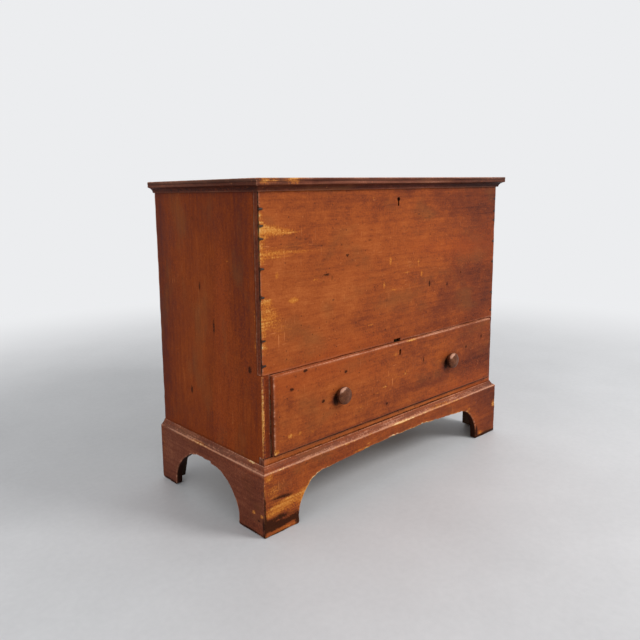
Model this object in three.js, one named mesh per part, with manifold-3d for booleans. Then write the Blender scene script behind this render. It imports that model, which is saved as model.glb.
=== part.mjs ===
// A pine blanket chest: a lift-top box over one long drawer, on a moulded bracket base.
// Millimetres, +Z up. The front faces -Y and the proper left side faces -X.
import * as THREE from 'three';
import { mergeVertices } from 'three/addons/utils/BufferGeometryUtils.js';
import Module from 'manifold-3d';

const wasm = await Module();
wasm.setup();

// Fits shared by every piece
const jointGap = 0.3; // between two pieces that are glued, nailed or seated together
const cutOverrun = 2; // how far a cutter runs past the face it opens

// Carcase
const caseWidth = 1010;
const caseDepth = 461;
const caseBottom = 150;
const caseTop = 852.7;
const sideThickness = 23;
const frontThickness = 20;
const backThickness = 16;
const backRabbet = 12; // how far the back boards reach into each side board
const backJointHeight = 512;
const openingBottom = 197; // top of the bottom rail
const openingTop = 405; // lower edge of the front board
const railThickness = 20;
const floorThickness = 18;
const floorLift = 2; // from the opening's top to the underside of the chest floor
const floorHousing = 8;
const runnerWidth = 20;
const runnerHeight = 26;

// Bracket base
const baseThickness = 20;
const baseProjection = 15; // how far its face stands out from the case
const baseTop = 179;
const baseMouldingDrop = 15.5; // from the top of the base to the arris under its moulding
const baseFillet = 2.2;
const baseFilletDrop = 1.5;
const baseCoveDepth = 1.4;
const baseArrisRadius = 1.2;
const frontFootWidth = 115; // seen from the front, at the floor
const frontFootRound = 95; // radius of the curve from the foot to the apron
const frontFootUpright = 22; // height at which that curve starts
const frontApronCrown = 13; // rise of the apron's lower edge at the middle
const sideFrontFootWidth = 104;
const sideFrontReachShare = 0.396; // of the space between the two feet at the floor
const sideFrontCurveRise = 100;
const sideRearFootWidth = 74;
const sideRearReachShare = 0.423;
const sideRearCurveRise = 103;
const sideFootUpright = 23;
const sawStepRise = 5; // small step left by the saw at the top of the side arch
const sawStepRun = 4.5;
const footEase = 6; // rounding of each foot's inner corner at the floor

// Blocks behind the feet and aprons
const footBlockThickness = 25;
const frontBlockInset = 10; // from the foot's inner edge, towards the middle
const frontBlockLift = 47;
const rearBlockThickness = 18;
const rearBlockLift = 14;
const rearBlockSetback = 13; // at its foot, behind the side foot's inner edge
const rearBlockLean = 40; // how much further forward its top reaches
const apronBlockThickness = 18;
const apronBlockLength = 30;
const apronBlockDrop = 38;
const apronBlockGap = 29.5; // in front of the rear foot block

// Lid
const lidThickness = 18;
const lidClearance = 2; // between the lid's mouldings and the case
const lidMouldingWidth = 19;
const lidMouldingHeight = 31;
const lidLipHeight = 16;
const lidLipRound = 2.5;
const lidGrooveDrop = 8.5;
const lidGrooveDepth = 0.9;
const lidFillet = 3;
const lidFilletRise = 2;
const lidLipStep = 1.5;
const lidCoveDepth = 3;

// Drawer
const drawerProud = 12; // how far the drawer's face stands out from the case
const drawerReveal = 1.5; // gap above and below the drawer front
const drawerSideGap = 2;
const drawerFrontThickness = 24;
const drawerArris = 2.4;
const drawerSideThickness = 12;
const drawerBackThickness = 12;
const drawerBottomThickness = 9;
const drawerSideDrop = 5; // the sides stop this far below the top of the front
const drawerBackDrop = 3; // and the back this far below the sides
const drawerGroove = 5;
const drawerGrooveLift = 11;
const drawerBackGap = 0.5; // the sides stop against the back boards
const dovetailSetback = 0.5; // the half-blind tails end this far behind the face of the case
const dovetailSlope = 7; // one in seven
const frontTailCount = 4;
const rearTailCount = 3;
const pinWidth = 13; // between two tails, at their wide ends

// Turned knobs
const knobInset = 233; // from the end of the drawer front to the middle of a knob
const knobHeight = 305;
const knobRadius = 23;
const knobProjection = 25;
const knobRimBack = 7; // from the drawer face to the back of the rim
const knobRimFront = 19;
const knobCollarRadius = 12.5;
const knobCollarHeight = 2;
const knobNeckRadius = 10;
const knobNeckHeight = 4;
const knobTenonRadius = 6;
const knobRimRound = 5;
const knobFlareDepth = 1.5; // hollow between the neck and the rim
const knobCrownDepth = 1.5;

// Butt hinges
const hingeInset = 185; // from the side of the case to the middle of a hinge
const hingeLength = 64;
const hingeLeafThickness = 1.6;
const hingeLeafMargin = 2; // wood left in front of a leaf in the back board
const hingeKnuckleRadius = 4;
const hingePinRadius = 1.75;
const hingePinFit = 0.05;
const hingePinHead = 0.6;
const hingeStandOff = 0.3; // between a knuckle and the case back
const knuckleCount = 5;

// Chest lock, in the front board, and its link plate in the lid
const chestKeyRound = 4.1;
const chestKeySlot = 5.4; // width of the lower part of the keyhole
const chestKeyDrop = 41; // from the case top to the middle of the round part
const chestKeyLength = 22;
const lockDepth = 11;
const lockWidth = 66;
const lockFoot = 9; // below the keyhole
const lockPlateThickness = 2;
const lockPlateEnds = 9;
const linkSpacing = 30;
const linkThickness = 3;
const linkWidth = 5.6;
const linkDrop = 15;
const linkEye = 5;
const linkEyeWidth = 3.4;
const linkEyeLift = 2.6;
const linkClearance = 0.8;
const chestBoltTravel = 6;
const boltFinger = 5.5;
const boltFingerHeight = 3;
const boltFingerWidth = 2.4;
const boltPost = 3;
const boltBarHeight = 5;
const boltBarDrop = 24; // from the case top to the underside of the bar
const boltWidth = 5.8;

// Drawer lock
const drawerKeyTop = 20.5; // from the top of the drawer front to the top of the keyhole
const drawerKeyLength = 15;
const drawerKeySlot = 5.4;
const drawerLockDepth = 10;
const drawerLockWidth = 54;
const drawerBoltWidth = 22;
const drawerBoltThickness = 5;
const drawerBoltLength = 16;
const drawerBoltTravel = 7;
const drawerBoltFit = 0.4;
const mortiseWidth = 30;
const mortiseHeadroom = 1.5; // above the bolt when it is thrown
const mortiseEase = 1.2;

// How finely curves are divided
const curveSteps = 8;
const archSteps = 12;
const roundSteps = 20;
const knobSteps = 32;
const edgeSteps = 3; // in the rounding of an edge
const mergeTolerance = 1e-4;
const frontArchExponent = 1.9;
const sideArchExponent = 1.8;

// Planes and lines that several pieces share
const halfWidth = caseWidth / 2;
const frontFace = -caseDepth / 2;
const backFace = caseDepth / 2;
const innerHalfWidth = halfWidth - sideThickness;
const frontInside = frontFace + frontThickness;
const backInside = backFace - backThickness;
const baseInset = baseThickness - baseProjection; // the ledge under the case
const baseInnerHalf = halfWidth - baseInset;
const blockTop = caseBottom - jointGap;
const floorBottom = openingTop + floorLift;
const floorTop = floorBottom + floorThickness;
const lidUnderside = caseTop + jointGap;
const lidTop = lidUnderside + lidThickness;
const lidHalfWidth = halfWidth + lidClearance;
const lidFront = frontFace - lidClearance;
const drawerFace = frontFace - drawerProud;
const drawerFrontBack = drawerFace + drawerFrontThickness;
const drawerBottom = openingBottom + drawerReveal;
const drawerTop = openingTop - drawerReveal;
const drawerHalfWidth = innerHalfWidth - drawerSideGap;
const drawerInnerHalf = drawerHalfWidth - drawerSideThickness;
const drawerSideBottom = openingBottom + jointGap;
const drawerSideTop = drawerTop - drawerSideDrop;
const drawerRear = backInside - drawerBackGap;
const drawerBackFace = drawerRear - drawerBackThickness;
const drawerPanelBottom = drawerSideBottom + drawerGrooveLift;
const drawerPanelTop = drawerPanelBottom + drawerBottomThickness;
const drawerBackBottom = drawerPanelTop + jointGap;
const drawerBackTop = drawerSideTop - drawerBackDrop;
const knobOffset = drawerHalfWidth - knobInset;
const hingeOffset = halfWidth - hingeInset;
const hingeAxisY = backFace + hingeStandOff + hingeKnuckleRadius;
const hingeAxisZ = caseTop + jointGap / 2;
const lockMiddleY = frontInside - lockDepth / 2;
const drawerLockMiddleY = drawerFrontBack - drawerLockDepth / 2;
const mortiseTop = openingTop + drawerBoltTravel + mortiseHeadroom;
const rearBlockToe = backFace - sideRearFootWidth + rearBlockSetback;
const foremost = drawerFace - knobProjection;
const rearmost = hingeAxisY + hingeKnuckleRadius;
const frameShift = -(foremost + rearmost) / 2; // puts the middle of the whole chest on Y = 0

// Finishes
const finish = (color, roughness, metalness = 0) => new THREE.MeshStandardMaterial({ color, roughness, metalness });
const frontPine = () => finish(0x8f4526, 0.5);
const sidePine = () => finish(0x6d3a26, 0.52);
const basePine = () => finish(0x5f2d20, 0.5);
const mouldingPine = () => finish(0x57301f, 0.5);
const barePine = () => finish(0xb08a5c, 0.8);
const knobWood = () => finish(0x5c3526, 0.42);
const iron = () => finish(0x3a3632, 0.55, 0.9);
const brass = () => finish(0x8c6f3c, 0.45, 0.9);

// Solids and meshes
function solidOf(geometry) {
  const bare = geometry.index ? geometry.toNonIndexed() : geometry.clone();
  bare.deleteAttribute('normal');
  bare.deleteAttribute('uv');
  const merged = mergeVertices(bare, mergeTolerance);
  const vertProperties = merged.attributes.position.array;
  const triVerts = new Uint32Array(merged.index.array);
  return new wasm.Manifold(new wasm.Mesh({ numProp: 3, vertProperties, triVerts }));
}

function geometryOf(solid) {
  const mesh = solid.getMesh();
  const indexed = new THREE.BufferGeometry();
  indexed.setAttribute('position', new THREE.BufferAttribute(new Float32Array(mesh.vertProperties), mesh.numProp));
  indexed.setIndex(new THREE.BufferAttribute(new Uint32Array(mesh.triVerts), 1));
  const geometry = indexed.toNonIndexed();
  geometry.computeVertexNormals();
  return geometry;
}

function cut(geometry, cutters) {
  let solid = solidOf(geometry);
  for (const cutter of cutters) {
    solid = solid.subtract(solidOf(cutter));
  }
  return geometryOf(solid);
}

function join(geometries) {
  let solid = solidOf(geometries[0]);
  for (const geometry of geometries.slice(1)) {
    solid = solid.add(solidOf(geometry));
  }
  return geometryOf(solid);
}

function mirrored(geometry) {
  const flipped = geometry.index ? geometry.toNonIndexed() : geometry.clone();
  const positions = flipped.attributes.position;
  for (let first = 0; first < positions.count; first += 3) {
    const corners = [0, 2, 1].map((k) => new THREE.Vector3().fromBufferAttribute(positions, first + k));
    corners.forEach((corner, k) => positions.setXYZ(first + k, -corner.x, corner.y, corner.z));
  }
  flipped.computeVertexNormals();
  return flipped;
}

function addPart(group, name, geometry, material) {
  const mesh = new THREE.Mesh(geometry, material);
  mesh.name = name;
  group.add(mesh);
  return mesh;
}

// Basic forms, all given by their lowest and highest faces
function slab([x0, x1], [y0, y1], [z0, z1]) {
  const box = new THREE.BoxGeometry(x1 - x0, y1 - y0, z1 - z0);
  return box.translate((x0 + x1) / 2, (y0 + y1) / 2, (z0 + z1) / 2);
}

function extruded(points, depth, bevel = 0) {
  const shape = new THREE.Shape(points.map(([u, v]) => new THREE.Vector2(u, v)));
  const bevelled = bevel > 0;
  return new THREE.ExtrudeGeometry(shape, {
    depth: depth - bevel - bevel,
    bevelEnabled: bevelled,
    bevelSize: bevel,
    bevelOffset: -bevel,
    bevelThickness: bevel,
    bevelSegments: 2,
    steps: 1,
  }).translate(0, 0, bevel);
}

// An outline in Y and Z, run along X
function alongX(points, [x0, x1]) {
  const axes = new THREE.Matrix4().makeBasis(
    new THREE.Vector3(0, 1, 0),
    new THREE.Vector3(0, 0, 1),
    new THREE.Vector3(1, 0, 0),
  );
  return extruded(points, x1 - x0).applyMatrix4(axes).translate(x0, 0, 0);
}

// An outline in X and Z, run along Y
function alongY(points, [y0, y1], bevel = 0) {
  const axes = new THREE.Matrix4().makeBasis(
    new THREE.Vector3(1, 0, 0),
    new THREE.Vector3(0, 0, 1),
    new THREE.Vector3(0, -1, 0),
  );
  return extruded(points, y1 - y0, bevel).applyMatrix4(axes).translate(0, y1, 0);
}

// A cylinder whose axis runs along X
function rodX(radius, [x0, x1], steps = roundSteps) {
  const rod = new THREE.CylinderGeometry(radius, radius, x1 - x0, steps);
  return rod.rotateZ(Math.PI / 2).translate((x0 + x1) / 2, 0, 0);
}

// A moulding: a profile of outward distance and height, run between two ends whose place
// can follow the outward distance, so that a mitre is part of the sweep itself.
function strip(profile, startAt, endAt, place) {
  const prism = extruded(profile, 1);
  const positions = prism.attributes.position;
  for (let i = 0; i < positions.count; i += 1) {
    const out = positions.getX(i);
    const height = positions.getY(i);
    const along = THREE.MathUtils.lerp(startAt(out), endAt(out), positions.getZ(i));
    positions.setXYZ(i, ...place(along, out, height));
  }
  return prism;
}

// Points of a shallow hollow or crown from one point to another
function bow([u0, v0], [u1, v1], sag, steps = curveSteps) {
  const length = Math.hypot(u1 - u0, v1 - v0);
  const [nu, nv] = [(v1 - v0) / length, (u0 - u1) / length];
  return Array.from({ length: steps + 1 }, (_, i) => {
    const t = i / steps;
    const offset = 4 * t * (1 - t) * sag;
    return [u0 + (u1 - u0) * t + nu * offset, v0 + (v1 - v0) * t + nv * offset];
  });
}

// A quarter of a superellipse, from its side (reach, 0) up to its top (0, rise)
function quarter(reach, rise, exponent, steps = archSteps) {
  return Array.from({ length: steps + 1 }, (_, i) => {
    const angle = (Math.PI / 2) * (i / steps);
    return [reach * Math.cos(angle) ** (2 / exponent), rise * Math.sin(angle) ** (2 / exponent)];
  });
}

// A keyhole: a round top and a straight slot, or only the slot where round is no wider
function keyholeOutline(middle, round, slotWidth, length) {
  const half = slotWidth / 2;
  const foot = middle + round - length;
  const start = Math.asin(half / round);
  const arc = Array.from({ length: curveSteps + 1 }, (_, i) => {
    const angle = start + (2 * Math.PI - 2 * start) * (i / curveSteps) - Math.PI / 2;
    return [round * Math.cos(angle), middle + round * Math.sin(angle)];
  });
  return [[-half, foot], [half, foot], ...arc];
}

// Carcase
const keyMiddle = caseTop - chestKeyDrop;
const lockBottom = keyMiddle + chestKeyRound - chestKeyLength - lockFoot;
const lockFront = frontInside - lockDepth;

function sideBoard() {
  const insideRail = frontFace + railThickness + jointGap;
  const insideFront = frontInside + jointGap;
  const outline = [
    [insideRail, caseBottom],
    [backFace, caseBottom],
    [backFace, caseTop],
    [insideFront, caseTop],
    [insideFront, openingTop - jointGap],
    [frontFace, openingTop - jointGap],
    [frontFace, openingBottom + jointGap],
    [insideRail, openingBottom + jointGap],
  ];
  const inner = [-innerHalfWidth, -innerHalfWidth + cutOverrun];
  const housing = slab(
    [-innerHalfWidth - floorHousing, inner[1]],
    [frontInside - cutOverrun, backFace + cutOverrun],
    [floorBottom - jointGap, floorTop + jointGap],
  );
  const rabbet = slab(
    [-innerHalfWidth - backRabbet, inner[1]],
    [backInside - jointGap, backFace + cutOverrun],
    [caseBottom - cutOverrun, caseTop + cutOverrun],
  );
  return cut(alongX(outline, [-halfWidth, -innerHalfWidth]), [housing, rabbet]);
}

function lockRecess() {
  const body = slab(
    [-lockWidth / 2 - jointGap, lockWidth / 2 + jointGap],
    [lockFront - jointGap, frontInside + cutOverrun],
    [lockBottom - jointGap, caseTop + cutOverrun],
  );
  const plateHalf = lockWidth / 2 + lockPlateEnds + jointGap;
  const plate = slab(
    [-plateHalf, plateHalf],
    [lockFront - jointGap, frontInside + cutOverrun],
    [caseTop - lockPlateThickness - jointGap, caseTop + cutOverrun],
  );
  return [body, plate];
}

function frontBoard() {
  const board = slab([-halfWidth, halfWidth], [frontFace, frontInside], [openingTop, caseTop]);
  const keyhole = alongY(
    keyholeOutline(keyMiddle, chestKeyRound, chestKeySlot, chestKeyLength),
    [frontFace - cutOverrun, frontInside],
  );
  const mortiseBack = drawerLockMiddleY + drawerBoltThickness / 2 + mortiseEase;
  const mortise = slab(
    [-mortiseWidth / 2, mortiseWidth / 2],
    [frontFace - cutOverrun, mortiseBack],
    [openingTop - cutOverrun, mortiseTop],
  );
  return cut(board, [keyhole, mortise, ...lockRecess()]);
}

function buildCarcase() {
  const group = new THREE.Group();
  const left = sideBoard();
  addPart(group, 'left_side_board', left, sidePine());
  addPart(group, 'right_side_board', mirrored(left), sidePine());
  addPart(group, 'front_board', frontBoard(), frontPine());
  const railBack = frontFace + railThickness;
  const rail = slab([-halfWidth, halfWidth], [frontFace, railBack], [caseBottom, openingBottom]);
  addPart(group, 'bottom_rail', rail, frontPine());
  const floorHalf = innerHalfWidth + floorHousing - jointGap;
  const floorSpan = [frontInside + jointGap, backInside - jointGap];
  const chestFloor = slab([-floorHalf, floorHalf], floorSpan, [floorBottom, floorTop]);
  addPart(group, 'chest_floor', chestFloor, barePine());
  const backHalf = innerHalfWidth + backRabbet - jointGap;
  const lower = slab([-backHalf, backHalf], [backInside, backFace], [caseBottom, backJointHeight]);
  addPart(group, 'lower_back_board', lower, barePine());
  const upper = slab([-backHalf, backHalf], [backInside, backFace], [backJointHeight + jointGap, caseTop]);
  const leafHeight = [caseTop - hingeLeafThickness - jointGap, caseTop + cutOverrun];
  const leafRecesses = [-1, 1].map((side) => leafRecess(side, leafHeight));
  addPart(group, 'upper_back_board', cut(upper, leafRecesses), barePine());
  for (const [name, sign] of [['left', -1], ['right', 1]]) {
    const edges = [sign * (innerHalfWidth - jointGap), sign * (innerHalfWidth - runnerWidth)];
    const across = edges.sort((a, b) => a - b);
    const along = [railBack + jointGap, backInside - jointGap];
    const runner = slab(across, along, [openingBottom - runnerHeight, openingBottom]);
    addPart(group, `${name}_drawer_runner`, runner, barePine());
  }
  return group;
}

// Bracket base
function baseProfile() {
  const arris = baseTop - baseMouldingDrop;
  const cove = bow(
    [baseFillet, baseTop - baseFilletDrop],
    [baseProjection - baseFillet, arris + baseFilletDrop],
    -baseCoveDepth,
  ).reverse();
  const round = quarter(baseArrisRadius, baseArrisRadius, 2, edgeSteps);
  return [
    [-baseInset, 0],
    [baseProjection, 0],
    ...round.map(([u, v]) => [baseProjection - baseArrisRadius + u, arris - baseArrisRadius + v]),
    ...cove,
    [baseFillet, baseTop],
    [jointGap, baseTop],
    [jointGap, caseBottom - jointGap],
    [-baseInset, caseBottom - jointGap],
  ];
}

// The rounded inner corner of a foot, where the opening between two feet starts below the floor
function easedFoot(edge, side) {
  const round = quarter(footEase, footEase, 2, edgeSteps).reverse();
  const start = edge + side * footEase;
  return [[start, -cutOverrun], ...round.map(([u, v]) => [start - side * u, footEase - v])];
}

function frontArch() {
  const edge = halfWidth + baseProjection - frontFootWidth;
  const shoulder = edge - frontFootRound;
  const curve = quarter(frontFootRound, frontFootRound, frontArchExponent);
  const right = curve.map(([u, v]) => [shoulder + u, frontFootUpright + v]);
  const crownFrom = [shoulder, frontFootUpright + frontFootRound];
  const crown = bow(crownFrom, [-shoulder, crownFrom[1]], frontApronCrown).slice(1, -1);
  const half = [...easedFoot(edge, 1), ...right];
  const otherHalf = half.map(([u, v]) => [-u, v]).reverse();
  return [...half, ...crown, ...otherHalf];
}

function sideArch() {
  const rearEdge = backFace - sideRearFootWidth;
  const frontEdge = frontFace - baseProjection + sideFrontFootWidth;
  const rearReach = (rearEdge - frontEdge) * sideRearReachShare;
  const frontReach = (rearEdge - frontEdge) * sideFrontReachShare;
  const rearShoulder = rearEdge - rearReach;
  const frontShoulder = frontEdge + frontReach;
  const rearCurve = quarter(rearReach, sideRearCurveRise, sideArchExponent);
  const frontCurve = quarter(frontReach, sideFrontCurveRise, sideArchExponent).reverse();
  return [
    ...easedFoot(rearEdge, 1),
    ...rearCurve.map(([u, v]) => [rearShoulder + u, sideFootUpright + v]),
    [frontShoulder + sawStepRun, sideFootUpright + sideFrontCurveRise + sawStepRise],
    ...frontCurve.map(([u, v]) => [frontShoulder - u, sideFootUpright + v]),
    ...easedFoot(frontEdge, -1).reverse(),
  ];
}

function frontBaseBoard() {
  const end = (out) => halfWidth + out - jointGap;
  const board = strip(baseProfile(), end, (out) => -end(out), (along, out, z) => [along, frontFace - out, z]);
  const through = [frontFace - baseProjection - cutOverrun, frontFace + baseInset + cutOverrun];
  return cut(board, [alongY(frontArch(), through)]);
}

function leftBaseBoard() {
  const mitre = (out) => frontFace - out + jointGap;
  const board = strip(baseProfile(), mitre, () => backFace, (along, out, z) => [-halfWidth - out, along, z]);
  const through = [-halfWidth - baseProjection - cutOverrun, -baseInnerHalf + cutOverrun];
  return cut(board, [alongX(sideArch(), through)]);
}

function rearFootBlock() {
  const outline = [
    [rearBlockToe, rearBlockLift],
    [backFace, rearBlockLift],
    [backFace, blockTop],
    [rearBlockToe - rearBlockLean, blockTop],
  ];
  const outer = -baseInnerHalf + jointGap;
  return alongX(outline, [outer, outer + rearBlockThickness]);
}

function frontFootBlock() {
  const edge = halfWidth + baseProjection - frontFootWidth - frontBlockInset;
  const face = frontFace + baseInset + jointGap;
  return slab([-baseInnerHalf + jointGap, -edge], [face, face + footBlockThickness], [frontBlockLift, blockTop]);
}

function apronBlock() {
  const outer = -baseInnerHalf + jointGap;
  const rear = rearBlockToe - rearBlockLean - apronBlockGap;
  const along = [rear - apronBlockLength, rear];
  return slab([outer, outer + apronBlockThickness], along, [blockTop - apronBlockDrop, blockTop]);
}

function buildBase() {
  const group = new THREE.Group();
  addPart(group, 'front_base_board', frontBaseBoard(), basePine());
  const pairs = [
    ['base_board', leftBaseBoard(), basePine],
    ['front_foot_block', frontFootBlock(), barePine],
    ['rear_foot_block', rearFootBlock(), barePine],
    ['apron_block', apronBlock(), barePine],
  ];
  for (const [name, geometry, material] of pairs) {
    addPart(group, `left_${name}`, geometry, material());
    addPart(group, `right_${name}`, mirrored(geometry), material());
  }
  return group;
}

// Lid, with its origin on the hinge axis
function lidProfile() {
  const out = lidMouldingWidth;
  const high = lidMouldingHeight;
  const lipFoot = high - lidLipHeight;
  const groove = high - lidGrooveDrop;
  const cove = bow([lidFillet, lidFilletRise], [out - lidLipStep, lipFoot], -lidCoveDepth);
  const round = quarter(lidLipRound, lidLipRound, 2, edgeSteps);
  return [
    [jointGap, 0],
    [lidFillet, 0],
    ...cove,
    [out, lipFoot + lidLipStep / 2],
    [out, groove - lidGrooveDepth],
    [out - lidGrooveDepth, groove],
    [out, groove + lidGrooveDepth],
    ...round.map(([u, v]) => [out - lidLipRound + u, high - lidLipRound + v]),
    [jointGap, high],
  ];
}

function frontLidMoulding() {
  const end = (out) => lidHalfWidth + out - jointGap;
  const bottom = lidTop - lidMouldingHeight - hingeAxisZ;
  const place = (along, out, z) => [along, lidFront - out - hingeAxisY, bottom + z];
  return strip(lidProfile(), end, (out) => -end(out), place);
}

function leftLidMoulding() {
  const mitre = (out) => lidFront - out + jointGap - hingeAxisY;
  const bottom = lidTop - lidMouldingHeight - hingeAxisZ;
  const place = (along, out, z) => [-lidHalfWidth - out, along, bottom + z];
  return strip(lidProfile(), mitre, () => backFace - hingeAxisY, place);
}

function lidBoard() {
  const low = lidUnderside - hingeAxisZ;
  const board = slab(
    [-lidHalfWidth, lidHalfWidth],
    [lidFront - hingeAxisY, backFace - hingeAxisY],
    [low, low + lidThickness],
  );
  const leafHeight = [lidUnderside - cutOverrun, lidUnderside + hingeLeafThickness + jointGap];
  const leaves = [-1, 1].map((side) => leafRecess(side, leafHeight).translate(0, -hingeAxisY, -hingeAxisZ));
  const plateHalf = lockWidth / 2 + lockPlateEnds + jointGap;
  const plateFront = lockMiddleY - lockDepth / 2 - jointGap - hingeAxisY;
  const plate = slab(
    [-plateHalf, plateHalf],
    [plateFront, plateFront + lockDepth + 2 * jointGap],
    [low - cutOverrun, low + lockPlateThickness + jointGap],
  );
  return cut(board, [...leaves, plate]);
}

function linkPlate() {
  const low = lidUnderside - hingeAxisZ;
  const middle = lockMiddleY - hingeAxisY;
  const plateHalf = lockWidth / 2 + lockPlateEnds;
  const plate = slab(
    [-plateHalf, plateHalf],
    [middle - lockDepth / 2, middle + lockDepth / 2],
    [low, low + lockPlateThickness],
  );
  const eyeFoot = low - linkDrop + linkEyeLift;
  const links = [-1, 1].map((side) => {
    const x = (side * linkSpacing) / 2;
    const across = [x - linkThickness / 2, x + linkThickness / 2];
    const link = slab(across, [middle - linkWidth / 2, middle + linkWidth / 2], [low - linkDrop, low + jointGap]);
    const eyeAcross = [across[0] - cutOverrun, across[1] + cutOverrun];
    const eye = slab(eyeAcross, [middle - linkEyeWidth / 2, middle + linkEyeWidth / 2], [eyeFoot, eyeFoot + linkEye]);
    return cut(link, [eye]);
  });
  return join([plate, ...links]);
}

function buildLid() {
  const group = new THREE.Group();
  group.position.set(0, hingeAxisY, hingeAxisZ);
  addPart(group, 'lid_board', lidBoard(), sidePine());
  addPart(group, 'front_lid_moulding', frontLidMoulding(), mouldingPine());
  const left = leftLidMoulding();
  addPart(group, 'left_lid_moulding', left, mouldingPine());
  addPart(group, 'right_lid_moulding', mirrored(left), mouldingPine());
  addPart(group, 'lid_link_plate', linkPlate(), brass());
  return group;
}

// Hinges, each with its origin at the middle of its pin
function leafRecess(side, height) {
  const middle = side * hingeOffset;
  const half = hingeLength / 2 + jointGap;
  const deep = [backInside + hingeLeafMargin - jointGap, backFace + cutOverrun];
  return slab([middle - half, middle + half], deep, height);
}

function knuckleSpan(index) {
  const pitch = hingeLength / knuckleCount;
  const start = -hingeLength / 2 + index * pitch;
  return [start + jointGap / 2, start + pitch - jointGap / 2];
}

function hingeLeaf(low, firstKnuckle) {
  const reach = backInside + hingeLeafMargin - hingeAxisY;
  const clear = -hingeKnuckleRadius - hingeStandOff / 2;
  const plate = slab([-hingeLength / 2, hingeLength / 2], [reach, clear], [low, low + hingeLeafThickness]);
  const pieces = [plate];
  for (let index = firstKnuckle; index < knuckleCount; index += 2) {
    const span = knuckleSpan(index);
    pieces.push(rodX(hingeKnuckleRadius, span));
    pieces.push(slab(span, [clear - jointGap, 0], [low, low + hingeLeafThickness]));
  }
  const bore = rodX(hingePinRadius + hingePinFit, [-hingeLength, hingeLength]);
  return cut(join(pieces), [bore]);
}

function hingePin() {
  const half = hingeLength / 2 + hingePinHead;
  const shank = rodX(hingePinRadius, [-half, half]);
  const head = rodX(hingePinRadius + hingePinHead, [half - hingePinHead / 2, half + hingePinHead]);
  const foot = rodX(hingePinRadius + hingePinHead, [-half - hingePinHead, -half + hingePinHead / 2]);
  return join([shank, head, foot]);
}

function buildHinge(name, side) {
  const group = new THREE.Group();
  group.position.set(side * hingeOffset, hingeAxisY, hingeAxisZ);
  const caseLow = caseTop - hingeLeafThickness - hingeAxisZ;
  addPart(group, `${name}_hinge_case_leaf`, hingeLeaf(caseLow, 0), iron());
  addPart(group, `${name}_hinge_lid_leaf`, hingeLeaf(lidUnderside - hingeAxisZ, 1), iron());
  addPart(group, `${name}_hinge_pin`, hingePin(), iron());
  return group;
}

// Locks
const boltBottom = caseTop - boltBarDrop;
const fingerMiddle = lidUnderside - linkDrop + linkEyeLift + linkEye / 2;
const fingerRest = linkThickness / 2 + jointGap + linkClearance; // from a link's middle to the fingertip

function chestLockCase() {
  const plateHalf = lockWidth / 2 + lockPlateEnds;
  const body = slab([-lockWidth / 2, lockWidth / 2], [lockFront, frontInside], [lockBottom, caseTop - jointGap]);
  const plate = slab([-plateHalf, plateHalf], [lockFront, frontInside], [caseTop - lockPlateThickness, caseTop]);
  const start = -linkSpacing / 2 - fingerRest - boltFinger - boltPost;
  const end = linkSpacing / 2 - fingerRest + chestBoltTravel;
  const cavity = slab(
    [start - jointGap, end + linkClearance],
    [lockMiddleY - boltWidth / 2 - jointGap, lockMiddleY + boltWidth / 2 + jointGap],
    [boltBottom - jointGap, caseTop - lockPlateThickness],
  );
  const slots = [-1, 1].map((side) => {
    const x = (side * linkSpacing) / 2;
    const halfX = linkThickness / 2 + linkClearance;
    const halfY = linkWidth / 2 + linkClearance;
    return slab([x - halfX, x + halfX], [lockMiddleY - halfY, lockMiddleY + halfY], [boltBottom, caseTop + cutOverrun]);
  });
  const keyway = alongY(
    keyholeOutline(keyMiddle, chestKeyRound, chestKeySlot, chestKeyLength),
    [lockFront - cutOverrun, frontInside - lockPlateThickness],
  );
  return cut(join([body, plate]), [cavity, ...slots, keyway]);
}

function chestLockBolt() {
  const posts = [-1, 1].map((side) => (side * linkSpacing) / 2 - fingerRest - boltFinger);
  const across = [lockMiddleY - boltWidth / 2, lockMiddleY + boltWidth / 2];
  const fingerTop = fingerMiddle + boltFingerHeight / 2;
  const bar = slab([posts[0] - boltPost, posts[1]], across, [boltBottom, boltBottom + boltBarHeight]);
  const pieces = [bar];
  for (const x of posts) {
    pieces.push(slab([x - boltPost, x], across, [boltBottom, fingerTop]));
    pieces.push(
      slab(
        [x - boltPost, x + boltFinger],
        [lockMiddleY - boltFingerWidth / 2, lockMiddleY + boltFingerWidth / 2],
        [fingerMiddle - boltFingerHeight / 2, fingerTop],
      ),
    );
  }
  return join(pieces);
}

const drawerKeyMiddle = drawerTop - drawerKeyTop - drawerKeySlot / 2;
const drawerLockBottom = drawerKeyMiddle + drawerKeySlot / 2 - drawerKeyLength - lockFoot;
const drawerLockFront = drawerFrontBack - drawerLockDepth;
const drawerBoltRest = drawerTop - jointGap - drawerBoltLength;

function drawerKeyhole(along) {
  const outline = keyholeOutline(drawerKeyMiddle, drawerKeySlot / 2, drawerKeySlot, drawerKeyLength);
  return alongY(outline, along);
}

function drawerLockCase() {
  const half = drawerLockWidth / 2;
  const body = slab([-half, half], [drawerLockFront, drawerFrontBack], [drawerLockBottom, drawerTop]);
  const ends = half + lockPlateEnds;
  const plate = slab([-ends, ends], [drawerLockFront, drawerFrontBack], [drawerTop - lockPlateThickness, drawerTop]);
  const boltHalf = drawerBoltWidth / 2 + drawerBoltFit;
  const boltDeep = drawerBoltThickness / 2 + drawerBoltFit;
  const pocket = slab(
    [-boltHalf, boltHalf],
    [drawerLockMiddleY - boltDeep, drawerLockMiddleY + boltDeep],
    [drawerBoltRest - jointGap, drawerTop + cutOverrun],
  );
  const keyway = drawerKeyhole([drawerLockFront - cutOverrun, drawerFrontBack - lockPlateThickness]);
  return cut(join([body, plate]), [pocket, keyway]);
}

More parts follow.
